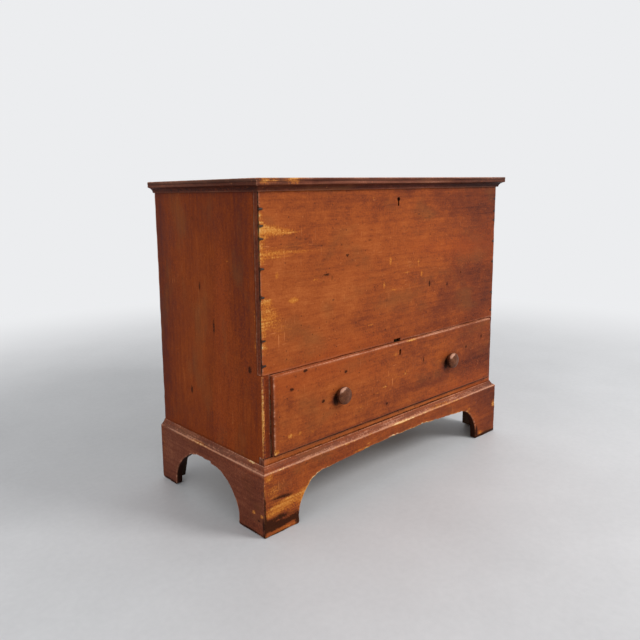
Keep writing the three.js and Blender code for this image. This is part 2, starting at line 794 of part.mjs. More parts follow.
function drawerLockBolt() {
  const half = drawerBoltWidth / 2;
  const deep = drawerBoltThickness / 2;
  return slab(
    [-half, half],
    [drawerLockMiddleY - deep, drawerLockMiddleY + deep],
    [drawerBoltRest, drawerBoltRest + drawerBoltLength],
  );
}

// Drawer
function tails(count, low, high, rootY, endY, grow = 0) {
  const pitch = (high - low) / count;
  const wide = pitch - pinWidth;
  const narrow = wide - (2 * Math.abs(endY - rootY)) / dovetailSlope;
  return Array.from({ length: count }, (_, i) => {
    const middle = low + (i + 0.5) * pitch;
    return [
      [rootY, middle - narrow / 2 - grow],
      [endY, middle - wide / 2 - grow],
      [endY, middle + wide / 2 + grow],
      [rootY, middle + narrow / 2 + grow],
    ];
  });
}

const tailEnd = frontFace + dovetailSetback;
const frontTails = (grow, rootY, endY) =>
  tails(frontTailCount, drawerSideBottom, drawerSideTop, rootY, endY, grow);
const rearTails = (grow, rootY, endY) => tails(rearTailCount, drawerBackBottom, drawerBackTop, rootY, endY, grow);

function drawerSide() {
  const shoulder = drawerFrontBack + jointGap;
  const rearShoulder = drawerBackFace - jointGap;
  const outline = [
    [shoulder, drawerSideBottom],
    [drawerRear, drawerSideBottom],
    [drawerRear, drawerBackBottom - jointGap],
    [rearShoulder, drawerBackBottom - jointGap],
    ...rearTails(0, rearShoulder, drawerRear).flat(),
    [rearShoulder, drawerSideTop],
    [shoulder, drawerSideTop],
    ...frontTails(0, shoulder, tailEnd + jointGap).reverse().map((tail) => tail.reverse()).flat(),
  ];
  const groove = slab(
    [-drawerInnerHalf - drawerGroove, -drawerInnerHalf + cutOverrun],
    [drawerFace, drawerRear + cutOverrun],
    [drawerPanelBottom - jointGap, drawerPanelTop + jointGap],
  );
  return cut(alongX(outline, [-drawerHalfWidth, -drawerInnerHalf]), [groove]);
}

function socketCutters(tailOutlines) {
  const outlines = tailOutlines.map((tail) => [[-drawerHalfWidth - cutOverrun, -drawerInnerHalf + jointGap], tail]);
  const left = outlines.map(([span, tail]) => alongX(tail, span));
  return [...left, ...left.map(mirrored)];
}

function drawerFrontBoard() {
  const outline = [
    [-drawerHalfWidth, drawerBottom],
    [drawerHalfWidth, drawerBottom],
    [drawerHalfWidth, drawerTop],
    [-drawerHalfWidth, drawerTop],
  ];
  const eased = alongY(outline, [drawerFace, drawerFrontBack + drawerArris], drawerArris);
  const blank = cut(eased, [
    slab(
      [-halfWidth, halfWidth],
      [drawerFrontBack, drawerFrontBack + drawerArris + cutOverrun],
      [drawerBottom - cutOverrun, drawerTop + cutOverrun],
    ),
  ]);
  const sockets = socketCutters(frontTails(jointGap, drawerFrontBack + cutOverrun, tailEnd));
  const grooveHalf = drawerInnerHalf + drawerGroove;
  const groove = slab(
    [-grooveHalf, grooveHalf],
    [drawerFrontBack - drawerGroove, drawerFrontBack + cutOverrun],
    [drawerPanelBottom - jointGap, drawerPanelTop + jointGap],
  );
  const knobHoles = [-1, 1].map((side) =>
    new THREE.CylinderGeometry(
      knobTenonRadius + jointGap,
      knobTenonRadius + jointGap,
      drawerFrontThickness + 2 * cutOverrun,
      roundSteps,
    ).translate(side * knobOffset, (drawerFace + drawerFrontBack) / 2, knobHeight),
  );
  const lockHalf = drawerLockWidth / 2 + jointGap;
  const lockBody = slab(
    [-lockHalf, lockHalf],
    [drawerLockFront - jointGap, drawerFrontBack + cutOverrun],
    [drawerLockBottom - jointGap, drawerTop + cutOverrun],
  );
  const lockPlate = slab(
    [-lockHalf - lockPlateEnds, lockHalf + lockPlateEnds],
    [drawerLockFront - jointGap, drawerFrontBack + cutOverrun],
    [drawerTop - lockPlateThickness - jointGap, drawerTop + cutOverrun],
  );
  const keyhole = drawerKeyhole([drawerFace - cutOverrun, drawerFrontBack]);
  return cut(blank, [...sockets, groove, ...knobHoles, lockBody, lockPlate, keyhole]);
}

function drawerBackBoard() {
  const board = slab(
    [-drawerHalfWidth, drawerHalfWidth],
    [drawerBackFace, drawerRear],
    [drawerBackBottom, drawerBackTop],
  );
  return cut(board, socketCutters(rearTails(jointGap, drawerBackFace - cutOverrun, drawerRear + cutOverrun)));
}

function knob() {
  const back = drawerFrontThickness - jointGap;
  const round = quarter(knobRimRound, knobRimRound, 2, edgeSteps);
  const flatRadius = knobRadius - knobRimRound;
  const flare = bow([knobNeckRadius, knobNeckHeight], [flatRadius, knobRimBack], -knobFlareDepth);
  const rim = [
    ...round.slice(0, -1).map(([u, v]) => [flatRadius + u, knobRimBack + knobRimRound - v]).reverse(),
    ...round.map(([u, v]) => [flatRadius + u, knobRimFront - knobRimRound + v]),
  ];
  const crown = bow([flatRadius, knobRimFront], [0, knobProjection], -knobCrownDepth).slice(1);
  const profile = [
    [0, -back],
    [knobTenonRadius, -back],
    [knobTenonRadius, jointGap],
    [knobCollarRadius, jointGap],
    [knobCollarRadius, knobCollarHeight],
    ...flare,
    ...rim,
    ...crown,
  ];
  const points = profile.map(([r, out]) => new THREE.Vector2(Math.abs(r), -out));
  return new THREE.LatheGeometry(points.reverse(), knobSteps);
}

function buildDrawer() {
  const group = new THREE.Group();
  addPart(group, 'drawer_front', drawerFrontBoard(), frontPine());
  const side = drawerSide();
  addPart(group, 'drawer_left_side', side, barePine());
  addPart(group, 'drawer_right_side', mirrored(side), barePine());
  addPart(group, 'drawer_back', drawerBackBoard(), barePine());
  const panelHalf = drawerInnerHalf + drawerGroove - jointGap;
  const panel = slab(
    [-panelHalf, panelHalf],
    [drawerFrontBack - drawerGroove + jointGap, drawerRear],
    [drawerPanelBottom, drawerPanelTop],
  );
  addPart(group, 'drawer_bottom', panel, barePine());
  for (const [name, sign] of [['left', -1], ['right', 1]]) {
    const mesh = addPart(group, `${name}_knob`, knob(), knobWood());
    mesh.position.set(sign * knobOffset, drawerFace, knobHeight);
  }
  addPart(group, 'drawer_lock_case', drawerLockCase(), iron());
  addPart(group, 'drawer_lock_bolt', drawerLockBolt(), brass());
  return group;
}

const body = new THREE.Group();
body.position.y = frameShift;
body.add(buildCarcase(), buildBase(), buildLid(), buildHinge('left', -1), buildHinge('right', 1), buildDrawer());
addPart(body, 'chest_lock_case', chestLockCase(), iron());
addPart(body, 'chest_lock_bolt', chestLockBolt(), brass());

const chest = new THREE.Group();
chest.add(body);

export default chest;
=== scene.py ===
# %% [markdown]
# # A worn pine blanket chest over one long drawer
#
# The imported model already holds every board, hinge and lock at its real size. This lesson gives the chest
# its looks: soft, uneven arrises, stained pine rubbed down to bare wood, nail heads and bruises. The boards
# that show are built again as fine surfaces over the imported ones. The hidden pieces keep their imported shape
# and get a finish of their own.

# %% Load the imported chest
import math

import bmesh
import bpy
import numpy as np
from mathutils import Matrix, Vector


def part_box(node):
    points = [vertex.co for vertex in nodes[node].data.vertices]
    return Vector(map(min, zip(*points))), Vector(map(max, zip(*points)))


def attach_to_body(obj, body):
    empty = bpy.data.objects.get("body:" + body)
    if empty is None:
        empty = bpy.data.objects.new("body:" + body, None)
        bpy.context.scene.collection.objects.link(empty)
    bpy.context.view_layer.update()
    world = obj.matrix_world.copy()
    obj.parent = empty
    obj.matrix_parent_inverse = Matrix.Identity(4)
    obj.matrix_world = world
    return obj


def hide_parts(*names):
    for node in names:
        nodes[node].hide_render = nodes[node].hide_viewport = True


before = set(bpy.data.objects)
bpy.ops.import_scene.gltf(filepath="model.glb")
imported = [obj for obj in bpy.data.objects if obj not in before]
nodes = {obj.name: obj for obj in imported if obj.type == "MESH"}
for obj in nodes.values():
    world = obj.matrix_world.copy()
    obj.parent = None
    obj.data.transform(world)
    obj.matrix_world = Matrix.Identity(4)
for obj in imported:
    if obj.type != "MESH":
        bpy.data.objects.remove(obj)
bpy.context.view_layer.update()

MM = 0.001

# %% [markdown]
# ## The camera
#
# The camera stands to the left of the chest, a little below its lid, and is tipped down by nine degrees. The
# lens is given as a distance in pixels of the 640 pixel picture, because that is how it was found, and is
# turned into millimetres of a 36 mm sensor. A small shift moves the chest to its place in the frame.

# %% Set up the camera
PICTURE = 640
FOCAL_PIXELS = 635.96
CENTRE_PIXELS = (279.74, 291.98)
SENSOR = 36
CAMERA_PLACE = (-1.4263, -1.34995, 0.8440)
YAW, PITCH, ROLL = 0.71343, 0.15977, -0.01803


def add_to_scene(name, data):
    """Makes an object of a mesh, a lamp or a camera and links it to the scene."""
    made = bpy.data.objects.new(name, data)
    bpy.context.scene.collection.objects.link(made)
    return made


camera_data = bpy.data.cameras.new("camera")
camera_data.sensor_width = SENSOR
camera_data.lens = SENSOR * FOCAL_PIXELS / PICTURE
camera_data.shift_x = (PICTURE / 2 - CENTRE_PIXELS[0]) / PICTURE
camera_data.shift_y = (CENTRE_PIXELS[1] - PICTURE / 2) / PICTURE
camera = add_to_scene("camera", camera_data)
turns = [(-YAW, "Z"), (math.pi / 2 - PITCH, "X"), (ROLL, "Z")]
yawed, pitched, rolled = [Matrix.Rotation(angle, 4, axis) for angle, axis in turns]
camera.matrix_world = Matrix.Translation(CAMERA_PLACE) @ yawed @ pitched @ rolled
bpy.context.scene.camera = camera
print("lens", round(camera_data.lens, 2), "mm")

# %% [markdown]
# ## Shader maths that reads as Python
#
# A material is a graph of nodes, and long graphs are hard to read. The class below wraps one output socket
# and overloads the usual operators, so that an expression such as 1 - mask * 0.5 adds its Math nodes by
# itself.

# %% Wrap a socket


class Value:
    """One output of a node, on which sums and products can be written."""

    def __init__(self, finish, socket):
        self.finish, self.socket = finish, socket

    def __add__(self, other):
        return self.finish.math("ADD", self, other)

    def __sub__(self, other):
        return self.finish.math("SUBTRACT", self, other)

    def __rsub__(self, other):
        return self.finish.math("SUBTRACT", other, self)

    def __mul__(self, other):
        return self.finish.math("MULTIPLY", self, other)

    __radd__ = __add__
    __rmul__ = __mul__


class Finish:
    """A material or a world under construction, with short names for the nodes that wood and metal need."""

    def __init__(self, owner):
        owner.use_nodes = True
        self.owner, self.tree = owner, owner.node_tree
        self.tree.nodes.clear()

    def node(self, kind, settings, inputs, output=0):
        """Adds a node: its settings first, then the value or link of each named or numbered socket."""
        made = self.tree.nodes.new("ShaderNode" + kind)
        for key, value in settings.items():
            if key == "stops":
                self.set_stops(made.color_ramp, value)
            else:
                setattr(made, key, value)
        for key, value in inputs.items():
            if isinstance(value, Value):
                self.tree.links.new(value.socket, made.inputs[key])
            else:
                made.inputs[key].default_value = value
        return Value(self, made.outputs[output]) if made.outputs else None

    @staticmethod
    def set_stops(ramp, stops):
        """Gives a ramp its stops: a place and a screen colour from 0 to 255 each."""
        while len(ramp.elements) < len(stops):
            ramp.elements.new(1.0)
        for element, (place, *tint) in zip(ramp.elements, stops):
            element.position = place
            element.color = colour(*tint)

    def math(self, operation, *values):
        """A Math node of numbers and values."""
        return self.node("Math", {"operation": operation}, dict(enumerate(values)))

    def coordinates(self, stretch=(1, 1, 1), shift=(0, 0, 0), turn=(0, 0, 0)):
        """The place on the chest in metres, stretched so that a pattern is drawn out along one axis."""
        place = self.node("TexCoord", {}, {}, "Object")
        inputs = {"Vector": place, "Scale": stretch, "Location": shift, "Rotation": turn}
        return self.node("Mapping", {}, inputs)

    def noise(self, vector, scale=1.0, detail=3.0, roughness=0.55, distortion=0.0):
        """Noise that wanders by up to about a half to both sides of 0."""
        inputs = {"Vector": vector, "Scale": scale, "Detail": detail, "Roughness": roughness}
        return self.node("TexNoise", {}, {**inputs, "Distortion": distortion}, "Fac") - 0.5

    def attribute(self, name):
        """A number that the piece carries on its vertices under this name."""
        return self.node("Attribute", {"attribute_name": name}, {}, "Fac")

    def step(self, value, low, high):
        """0 below low, 1 above high and a smooth rise between them."""
        inputs = {"Value": value, "From Min": low, "From Max": high}
        return self.node("MapRange", {"interpolation_type": "SMOOTHSTEP"}, inputs, "Result")

    def ramp(self, value, *stops):
        """A colour from a number. Each stop is a place and a screen colour from 0 to 255."""
        return self.node("ValToRGB", {"stops": stops}, {"Fac": value}, "Color")

    def blend(self, factor, first, second):
        """The first colour at factor 0, the second at 1, and a straight mix between."""
        return self.node("Mix", {"data_type": "RGBA"}, {0: factor, 6: first, 7: second}, 2)

    def specks(self, stretch, shift, size, share):
        """Scattered small spots: cells of a Voronoi pattern, of which only a share has a spot at its
        middle."""
        inputs = {"Vector": self.coordinates(stretch, shift), "Scale": 1.0}
        distance = self.node("TexVoronoi", {}, inputs, "Distance")
        tint = self.node("TexVoronoi", {}, inputs, "Color")
        chance = self.node("SeparateColor", {}, {"Color": tint}, "Red")
        return (1 - self.step(distance, size * 0.4, size)) * self.step(chance, 1 - share, 1.001 - share)

    def wood_or_metal(self, height, height_mm, **inputs):
        """A Principled shader with a bump. Height is in shares of height_mm."""
        settings = {"Height": height, "Distance": height_mm * MM, "Strength": 1.0}
        named = {key.replace("_", " "): value for key, value in inputs.items()}
        named["Normal"] = self.node("Bump", {}, settings, "Normal")
        return self.node("BsdfPrincipled", {}, named, "BSDF")

    def end(self, shader, kind="OutputMaterial"):
        """Links the shader to the output and gives back the material or world."""
        self.node(kind, {}, {"Surface": shader})
        return self.owner


def colour(red, green, blue):
    """A screen colour from 0 to 255 as the linear colour that a shader works with."""
    share = np.array([red, green, blue]) / 255
    linear = np.where(share <= 0.04045, share / 12.92, ((share + 0.055) / 1.055) ** 2.4)
    return (*linear.tolist(), 1.0)


# %% [markdown]
# ## Stained pine
#
# The chest was stained and varnished red-brown, and two centuries of hands, boots and brooms have thinned
# it. One function makes every wooden finish. The stain gets its tone from stretched noise for the grain, a
# bent sine wave for the growth rings, round noise for the mottling and small cells for bruises. Five numbers
# that each piece carries on its vertices then say where the wood is stained at all, how near an arris is,
# where it is rubbed bare, where it is dirty or has painted shade, and how light its tone is, which in places
# is painted light and shade. A few arrises also carry a painted highlight. Noise breaks up the borders, so
# that they look worn.

# %% Pine finishes
ACROSS = {"X": (0, 1, 1), "Y": (1, 0, 1), "Z": (1, 1, 0)}
FULL_TURN = 2 * math.pi
RING_PACE = 52
RING_BEND = 26
WAXED = 0.05
RAW_ROUGHNESS, STAINED_ROUGHNESS = 0.78, 0.5
FRONT_STOPS = [(0.12, 82, 38, 26), (0.36, 120, 56, 30), (0.55, 154, 76, 34), (0.86, 184, 102, 50)]
SIDE_STOPS = [(0.12, 76, 33, 32), (0.36, 99, 40, 22), (0.55, 127, 54, 17), (0.86, 158, 76, 28)]
DARK_STOPS = [(0.12, 48, 20, 14), (0.36, 80, 36, 24), (0.55, 112, 58, 40), (0.86, 152, 92, 66)]
BARE_STOPS = [(0.25, 168, 92, 36), (0.5, 200, 124, 50), (0.75, 226, 168, 92), (0.95, 240, 206, 156)]
BLOCK_STOPS = [(0.15, 30, 20, 15), (0.5, 54, 38, 28), (0.85, 84, 62, 46)]
RAW_STOPS = [(0.15, 98, 70, 46), (0.5, 140, 104, 68), (0.85, 170, 134, 92)]
BACK_STOPS = [(0.15, 70, 50, 35), (0.5, 108, 80, 55), (0.85, 140, 110, 78)]
FADED, ORANGE, BRUISED = colour(120, 74, 40), colour(166, 74, 30), colour(66, 32, 22)
FLECKED, SCRATCHED, WORN_PINK = colour(204, 124, 72), colour(206, 124, 70), colour(206, 150, 122)
THIN_STAIN, BLACK_DIRT_AND_SHADE = colour(186, 104, 36), colour(34, 16, 9)


def stretched(grain, along, across):
    """Scales for coordinates in which a pattern is drawn out along the grain."""
    return tuple(across if square else along for square in ACROSS[grain])


def pine(name, grain, stops=FRONT_STOPS, edge_wear=0.5, mottle=1.0, shift=0.0, raw_stops=RAW_STOPS):
    """A wooden finish. The tone is a weighted sum of the noises, less the rings, and its tone field holds
    painted light and shade in places. The stain's colour follows from the tone, and is blended towards bare
    wood by rub and arris, which on a few arrises is partly a painted highlight, and towards black by dirt and
    painted shade.
    Where the coat is 0, raw wood takes its place."""
    finish = Finish(bpy.data.materials.new(name))
    blend, step, coordinates, noise = finish.blend, finish.step, finish.coordinates, finish.noise
    moved = (shift, shift * 2, shift * 3)
    arris, rub, dirt, lighter, coat = map(finish.attribute, ("arris", "rub", "dirt", "tone", "stain"))

    def drawn(along, across, detail, where=moved, **settings):
        """Noise that is drawn out along the grain."""
        return noise(coordinates(stretched(grain, along, across), where), detail=detail, **settings)

    place = coordinates(shift=moved)
    bands = drawn(1.1, 14, 3, distortion=0.4)
    streaks = drawn(4.5, 120, 3)
    fibres = drawn(30, 900, 2)
    mottles = drawn(34, 62, 4, roughness=0.65)
    bend = drawn(1.2, 5, 2)
    faded = drawn(6, 11, 4, (3 + shift, 1, 2))
    blotches = noise(place, scale=13, detail=5, roughness=0.62)
    clouds = noise(place, scale=3.2, detail=2)
    grit = noise(place, scale=190, detail=3, roughness=0.7)
    across = finish.node("VectorMath", {"operation": "DOT_PRODUCT"}, {0: place, 1: ACROSS[grain]}, "Value")
    phase = across * (FULL_TURN * RING_PACE) + (bend + 0.5) * RING_BEND
    rings = step(finish.math("SINE", phase), 0.1, 1.0)

    tone = 0.55 + bands * 0.24 + streaks * 0.2 + fibres * 0.25 + grit * 0.45 - rings * 0.03 + lighter * 0.24
    tone = tone + (blotches * 0.34 + clouds * 0.2 + mottles * 0.36) * mottle
    stain = blend(step(faded, 0.02, 0.22) * 0.4, finish.ramp(tone, *stops), FADED)
    stain = blend(step(bend + grit * 0.4, 0.04, 0.2) * 0.35, stain, ORANGE)
    spots = finish.specks(stretched(grain, 20, 34), (5 + shift, 0, 1), 0.11, 0.3)
    dots = finish.specks((80, 80, 80), (1 + shift, 2, 0), 0.24, 0.14)
    flecks = finish.specks((90, 90, 90), (2 + shift, 5, 3), 0.22, 0.06)
    stain = blend(spots * 0.6 + dots * 0.6, stain, BRUISED)
    stain = blend(flecks * 0.4, stain, FLECKED)
    upright = noise(coordinates((330, 330, 26), (shift, 3, 1), (0.2, 0.25, 0)), detail=1)
    slanting = noise(coordinates((26, 330, 330), (4, shift, 6), (0, 0.3, 0.2)), detail=1)
    scratches = step(upright, 0.2, 0.28) + step(slanting, 0.21, 0.29)
    stain = blend(scratches * (step(blotches, -0.05, 0.15) * 0.5 + rub * 3), stain, SCRATCHED)

    ragged = streaks * 1.4 + blotches + grit * 1.8
    # Worn arrises turn pale pink. On the drawer front's top edge this is partly a painted highlight.
    polished = step(arris * edge_wear + ragged * 0.6, 0.36, 0.66)
    stain = blend(polished * 0.6 + arris * (0.2 + streaks), stain, WORN_PINK)
    worn = rub + arris * (edge_wear * 0.3)
    worn = worn + ragged * (worn * 1.3 + 0.3)
    rubbed = step(worn, 0.45, 0.9)
    bare = finish.ramp(0.5 + streaks * 0.9 + bands * 0.7 + grit * 0.7 + arris * 0.3, *BARE_STOPS)
    stain = blend(step(worn, 0.22, 0.55) * 0.55, stain, THIN_STAIN)
    stain = blend(rubbed * 0.8, stain, bare)
    # Black where the wood is dirty, and also where shade is painted: under the lid, under the drawer, in the
    # keyholes, beside the knobs and under the arches.
    grime_and_shade = step(dirt * (1 + grit * 2.2 + streaks * 1.3 + blotches * 0.9), 0.3, 0.75)
    stain = blend(grime_and_shade * 0.9, stain, BLACK_DIRT_AND_SHADE)

    raw_tone = 0.5 + bands * 0.6 + streaks * 0.5 + clouds * 0.6 + fibres * 0.4 + blotches * 0.3
    raw = finish.ramp(raw_tone - rings * 0.07 - spots * 0.3, *raw_stops)
    smoother = coat * (1 - rubbed * 0.7) * (RAW_ROUGHNESS - STAINED_ROUGHNESS)
    rough = RAW_ROUGHNESS - smoother + blotches * 0.25 + grime_and_shade * 0.1 - polished * 0.05
    height = (streaks + fibres) * 0.5 + grit * 0.25 - spots - dots
    height = height - (rubbed + scratches) * 0.3 - rings * 0.08
    inputs = {"Base_Color": blend(coat, raw, stain), "Roughness": rough, "Specular_IOR_Level": WAXED}
    return finish.end(finish.wood_or_metal(height, 0.4, **inputs))


front_pine = pine("front_pine", "X")
side_pine = pine("side_pine", "Z", SIDE_STOPS, mottle=0.8, shift=1.7)
lid_pine = pine("lid_pine", "X", shift=4.1)
base_pine = pine("base_pine", "X", edge_wear=0.7, shift=2.3)
side_base_pine = pine("side_base_pine", "Y", DARK_STOPS, edge_wear=0.6, mottle=0.6, shift=3.1)
moulding_pine = pine("moulding_pine", "X", DARK_STOPS, shift=5.2)
side_moulding_pine = pine("side_moulding_pine", "Y", DARK_STOPS, edge_wear=0.35, shift=6.4)
raw_pine_x = pine("raw_pine_x", "X", shift=7.3)
raw_pine_y = pine("raw_pine_y", "Y", shift=8.6)
back_pine = pine("back_pine", "X", shift=10.5, raw_stops=BACK_STOPS)
block_pine = pine("block_pine", "Z", shift=11.3, raw_stops=BLOCK_STOPS)
print("materials so far, with the packed ones:", len(bpy.data.materials))

# %% [markdown]
# ## Iron, brass and the turned wood of the knobs
#
# The hinges and lock cases are old iron, dark and pitted, and the bolts and the link plate are brass gone
# dull. The knobs are a harder wood than the case, turned with the grain along the shank, and handled dark.

# %% Metal and knob finishes


def metal(name, dark, light, roughness, metallic):
    """Old metal: coarse noise turns its colour from dark to light, and fine noise pits it."""
    finish = Finish(bpy.data.materials.new(name))
    place = finish.coordinates()
    patina = finish.noise(place, scale=120, detail=5, roughness=0.65)
    pits = finish.noise(place, scale=900, detail=3)
    base = finish.ramp(patina + 0.5, (0.3, *dark), (0.7, *light))
    inputs = {"Base_Color": base, "Roughness": roughness + patina * 0.3, "Metallic": metallic}
    return finish.end(finish.wood_or_metal(patina * 0.6 + pits * 0.4, 0.3, **inputs))


def turned_wood(name):
    """Hard dark wood: its tone is grain and blotches. It is pale where an arris is rubbed, which on the knobs'
    upper left is also a painted highlight, and black where dirty and where shade is painted."""
    finish = Finish(bpy.data.materials.new(name))
    grain = finish.noise(finish.coordinates((420, 60, 420)), detail=3)
    blotches = finish.noise(finish.coordinates(), scale=70, detail=4, roughness=0.6)
    tone = 0.5 + grain * 0.6 + blotches * 0.9
    base = finish.ramp(tone, (0.2, 56, 28, 16), (0.5, 96, 54, 34), (0.8, 132, 84, 56))
    # Pale pink on the rim: wear, and on the knobs' upper left also a painted highlight.
    rubbed = finish.step(finish.attribute("arris") * 0.8 + blotches * 0.8, 0.3, 0.65)
    base = finish.blend(rubbed * 0.85, base, colour(206, 156, 130))
    grime_and_shade = finish.step(finish.attribute("dirt") + blotches * 0.6, 0.3, 0.8)
    base = finish.blend(grime_and_shade * 0.8, base, colour(40, 22, 17))
    inputs = {"Base_Color": base, "Roughness": 0.4 + blotches * 0.3, "Specular_IOR_Level": 0.12}
    return finish.end(finish.wood_or_metal((grain + blotches) * 0.5, 0.5, **inputs))


iron = metal("iron", (34, 28, 25), (74, 62, 54), 0.55, 0.85)
nail_iron = metal("nail_iron", (22, 16, 14), (60, 44, 36), 0.5, 0.5)
brass = metal("brass", (92, 70, 34), (160, 128, 70), 0.42, 0.95)
knob_wood = turned_wood("knob_wood")
print("materials so far, with the packed ones:", len(bpy.data.materials))

# %% [markdown]
# ## Surfaces from arrays
#
# Every new piece is worked out with numpy as whole arrays of points. Two forms are enough for the joinery: a
# block, whose six faces are grids with rounded arrises, and a sleeve, which is a closed ring of points
# repeated at stations along a path and closed at both ends.

# %% Noise and mesh helpers
WAVES = 14
SHARP_ANGLE = math.radians(38)
DOUBLES = 0.5e-6


def rise(values, zero, one):
    """0 at the value zero, 1 at the value one, straight between them and level beyond."""
    return np.clip((values - zero) / (one - zero), 0, 1)


def bell(values, middle, reach):
    """e to the minus squared distance from the middle, measured in reaches."""
    return np.exp(-(((values - middle) / reach) ** 2))


def wander(points, seed, size):
    """Smooth numbers between about -1 and 1: a sum of sine waves in random directions, with wavelengths near
    size, divided by the root of half their number."""
    dice = np.random.default_rng(seed)
    total = np.zeros(points.shape[:-1])
    for _ in range(WAVES):
        way = dice.normal(size=3)
        way = way / np.linalg.norm(way)
        pace = FULL_TURN / (size * dice.uniform(0.6, 1.6))
        total = total + np.sin(points @ way * pace + dice.uniform(0, FULL_TURN))
    return total / math.sqrt(WAVES / 2)


def grid_faces(rows, columns, first=0, wrap=False):
    """Quads between neighbouring rows and columns of points that are numbered row by row."""
    last = columns if wrap else columns - 1
    row, column = np.meshgrid(np.arange(rows - 1), np.arange(last), indexing="ij")
    after = (column + 1) % columns
    here, above = row * columns, (row + 1) * columns
    corners = [here + column, here + after, above + after, above + column]
    return (np.stack(corners, axis=-1).reshape(-1, 4) + first).tolist()


def set_field(piece, key, values):
    """Writes one number for each vertex under a name."""
    layer = piece.data.attributes.get(key) or piece.data.attributes.new(key, "FLOAT", "POINT")
    layer.data.foreach_set("value", np.asarray(values, np.float32).ravel())


def piece_from(name, points, faces, arris=None):
    """A smooth mesh object at the origin, with doubles merged and faces turned outwards."""
    mesh = bpy.data.meshes.new(name)
    mesh.from_pydata(points.reshape(-1, 3).tolist(), [], faces)
    piece = add_to_scene(name, mesh)
    if arris is not None:
        set_field(piece, "arris", arris)
    work = bmesh.new()
    work.from_mesh(mesh)
    bmesh.ops.remove_doubles(work, verts=work.verts, dist=DOUBLES)
    bmesh.ops.recalc_face_normals(work, faces=work.faces)
    work.to_mesh(mesh)
    work.free()
    mesh.shade_smooth()
    mesh.set_sharp_from_angle(angle=SHARP_ANGLE)
    return piece


def places_of(piece):
    """The place of each vertex in metres, one row each."""
    flat = np.empty(len(piece.data.vertices) * 3, np.float32)
    piece.data.vertices.foreach_get("co", flat)
    return flat.reshape(-1, 3).astype(float)


def corners_of(node):
    """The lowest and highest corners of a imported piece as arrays."""
    return tuple(np.array(corner, float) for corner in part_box(node))


def sleeve(name, rings, arris):
    """A closed ring of points at each station, joined to the next ring and capped at both ends."""
    stations, count = rings.shape[:2]
    caps = [list(range(count)), list(range((stations - 1) * count, stations * count))]
    return piece_from(name, rings, grid_faces(stations, count, wrap=True) + caps, arris)


# %% Blocks
EDGE_SHARES = np.array([0, 0.12, 0.3, 0.5, 0.75, 1.0, 1.5, 2.2])
RIPPLE = 0.25 * MM


def spaced(low, high, radius, step):
    """Grid lines from low to high: close together over the rounded ends, then about one step apart."""
    ends = EDGE_SHARES * radius
    count = max(2, round((high - low) / step) + 1)
    middle = np.linspace(low + ends[-1], high - ends[-1], count)
    return np.unique(np.concatenate([low + ends, middle, high - ends]).round(7))


def chipped(points, chips):
    """Extra rounding in metres: each chip is a place, a reach and a depth in mm, and adds a bell that
    deep."""
    total = np.zeros(points.shape[:-1])
    for *place, reach, deep in chips:
        away = np.linalg.norm(points - np.array(place) * MM, axis=-1)
        total = total + deep * MM * bell(away, 0, reach * MM)
    return total


def block(name, low, high, radius, step, seed, chips=()):
    """A box with rounded arrises. Each point of the sharp box is pulled to the nearest point of the box that
    is smaller by the radius all round, and pushed out from there by the radius, which wanders along the
    arrises and grows at each chip. The faces then sink by a fraction of a millimetre, as planed boards
    do. Radius and step are in mm."""
    low, high = np.array(low), np.array(high)
    radius, step = radius * MM, step * MM
    lines = [spaced(a, b, radius, step) for a, b in zip(low, high)]
    points, faces = [], []
    for axis in range(3):
        first, second = [k for k in range(3) if k != axis]
        across, along = np.meshgrid(lines[first], lines[second], indexing="ij")
        for side in (low, high):
            sheet = np.empty((*across.shape, 3))
            sheet[..., first], sheet[..., second], sheet[..., axis] = across, along, side[axis]
            faces += grid_faces(*across.shape, sum(map(len, points)))
            points.append(sheet.reshape(-1, 3))
    sharp = np.concatenate(points)
    reach = np.clip(radius * (1 + 0.5 * wander(sharp, seed, 0.05)), radius * 0.4, radius * 2.2)
    reach = (reach + chipped(sharp, chips))[:, None]
    inner = np.clip(sharp, low + reach, high - reach)
    away = (sharp - inner) / np.linalg.norm(sharp - inner, axis=1, keepdims=True)
    sunk = RIPPLE * (0.5 + 0.5 * np.clip(wander(sharp, seed + 100, 0.11), -1, 1))[:, None]
    piece = piece_from(name, inner + away * (reach - sunk), faces)
    piece["low"], piece["high"] = low.tolist(), high.tolist()
    return piece


# %% [markdown]
# ## Cutting recesses
#
# Keyholes, lock recesses, hinge seats and dovetail sockets go into plain faces, and a hole through a grid is
# simplest with a Boolean modifier. Each cutter is a straight prism. Prisms that don't meet share one cutter,
# and the modifier's result is taken as the piece's new mesh.

# %% Prisms and cuts
OVERRUN = 3 * MM
GAP = 0.3 * MM


def prism(outline, axis, near, far):
    """An outline in the two other axes, at near and again at far along the axis."""
    outline = np.asarray(outline, float)
    count = len(outline)
    points = np.concatenate([np.insert(outline, axis, depth, axis=1) for depth in (near, far)])
    return points, grid_faces(2, count, wrap=True) + [list(range(count)), list(range(count, 2 * count))]


def slab(low, high):
    """A prism with a rectangular outline, from its lowest corner to its highest."""
    x0, y0, z0 = low
    x1, y1, z1 = high
    return prism([(x0, z0), (x1, z0), (x1, z1), (x0, z1)], 1, y0, y1)


def joined(parts):
    """The points and faces of several shapes as those of one."""
    points, faces = [], []
    for places, corners in parts:
        first = sum(map(len, points))
        faces += [[corner + first for corner in face] for face in corners]
        points.append(places)
    return np.concatenate(points), faces


def combine(piece, tool, operation):
    """Applies a Boolean of a piece and a tool, and removes the tool."""
    modifier = piece.modifiers.new("cut", "BOOLEAN")
    modifier.operation, modifier.solver, modifier.object = operation, "EXACT", tool
    graph = bpy.context.evaluated_depsgraph_get()
    made = bpy.data.meshes.new_from_object(piece.evaluated_get(graph))
    piece.modifiers.clear()
    piece.data = made
    bpy.data.objects.remove(tool)


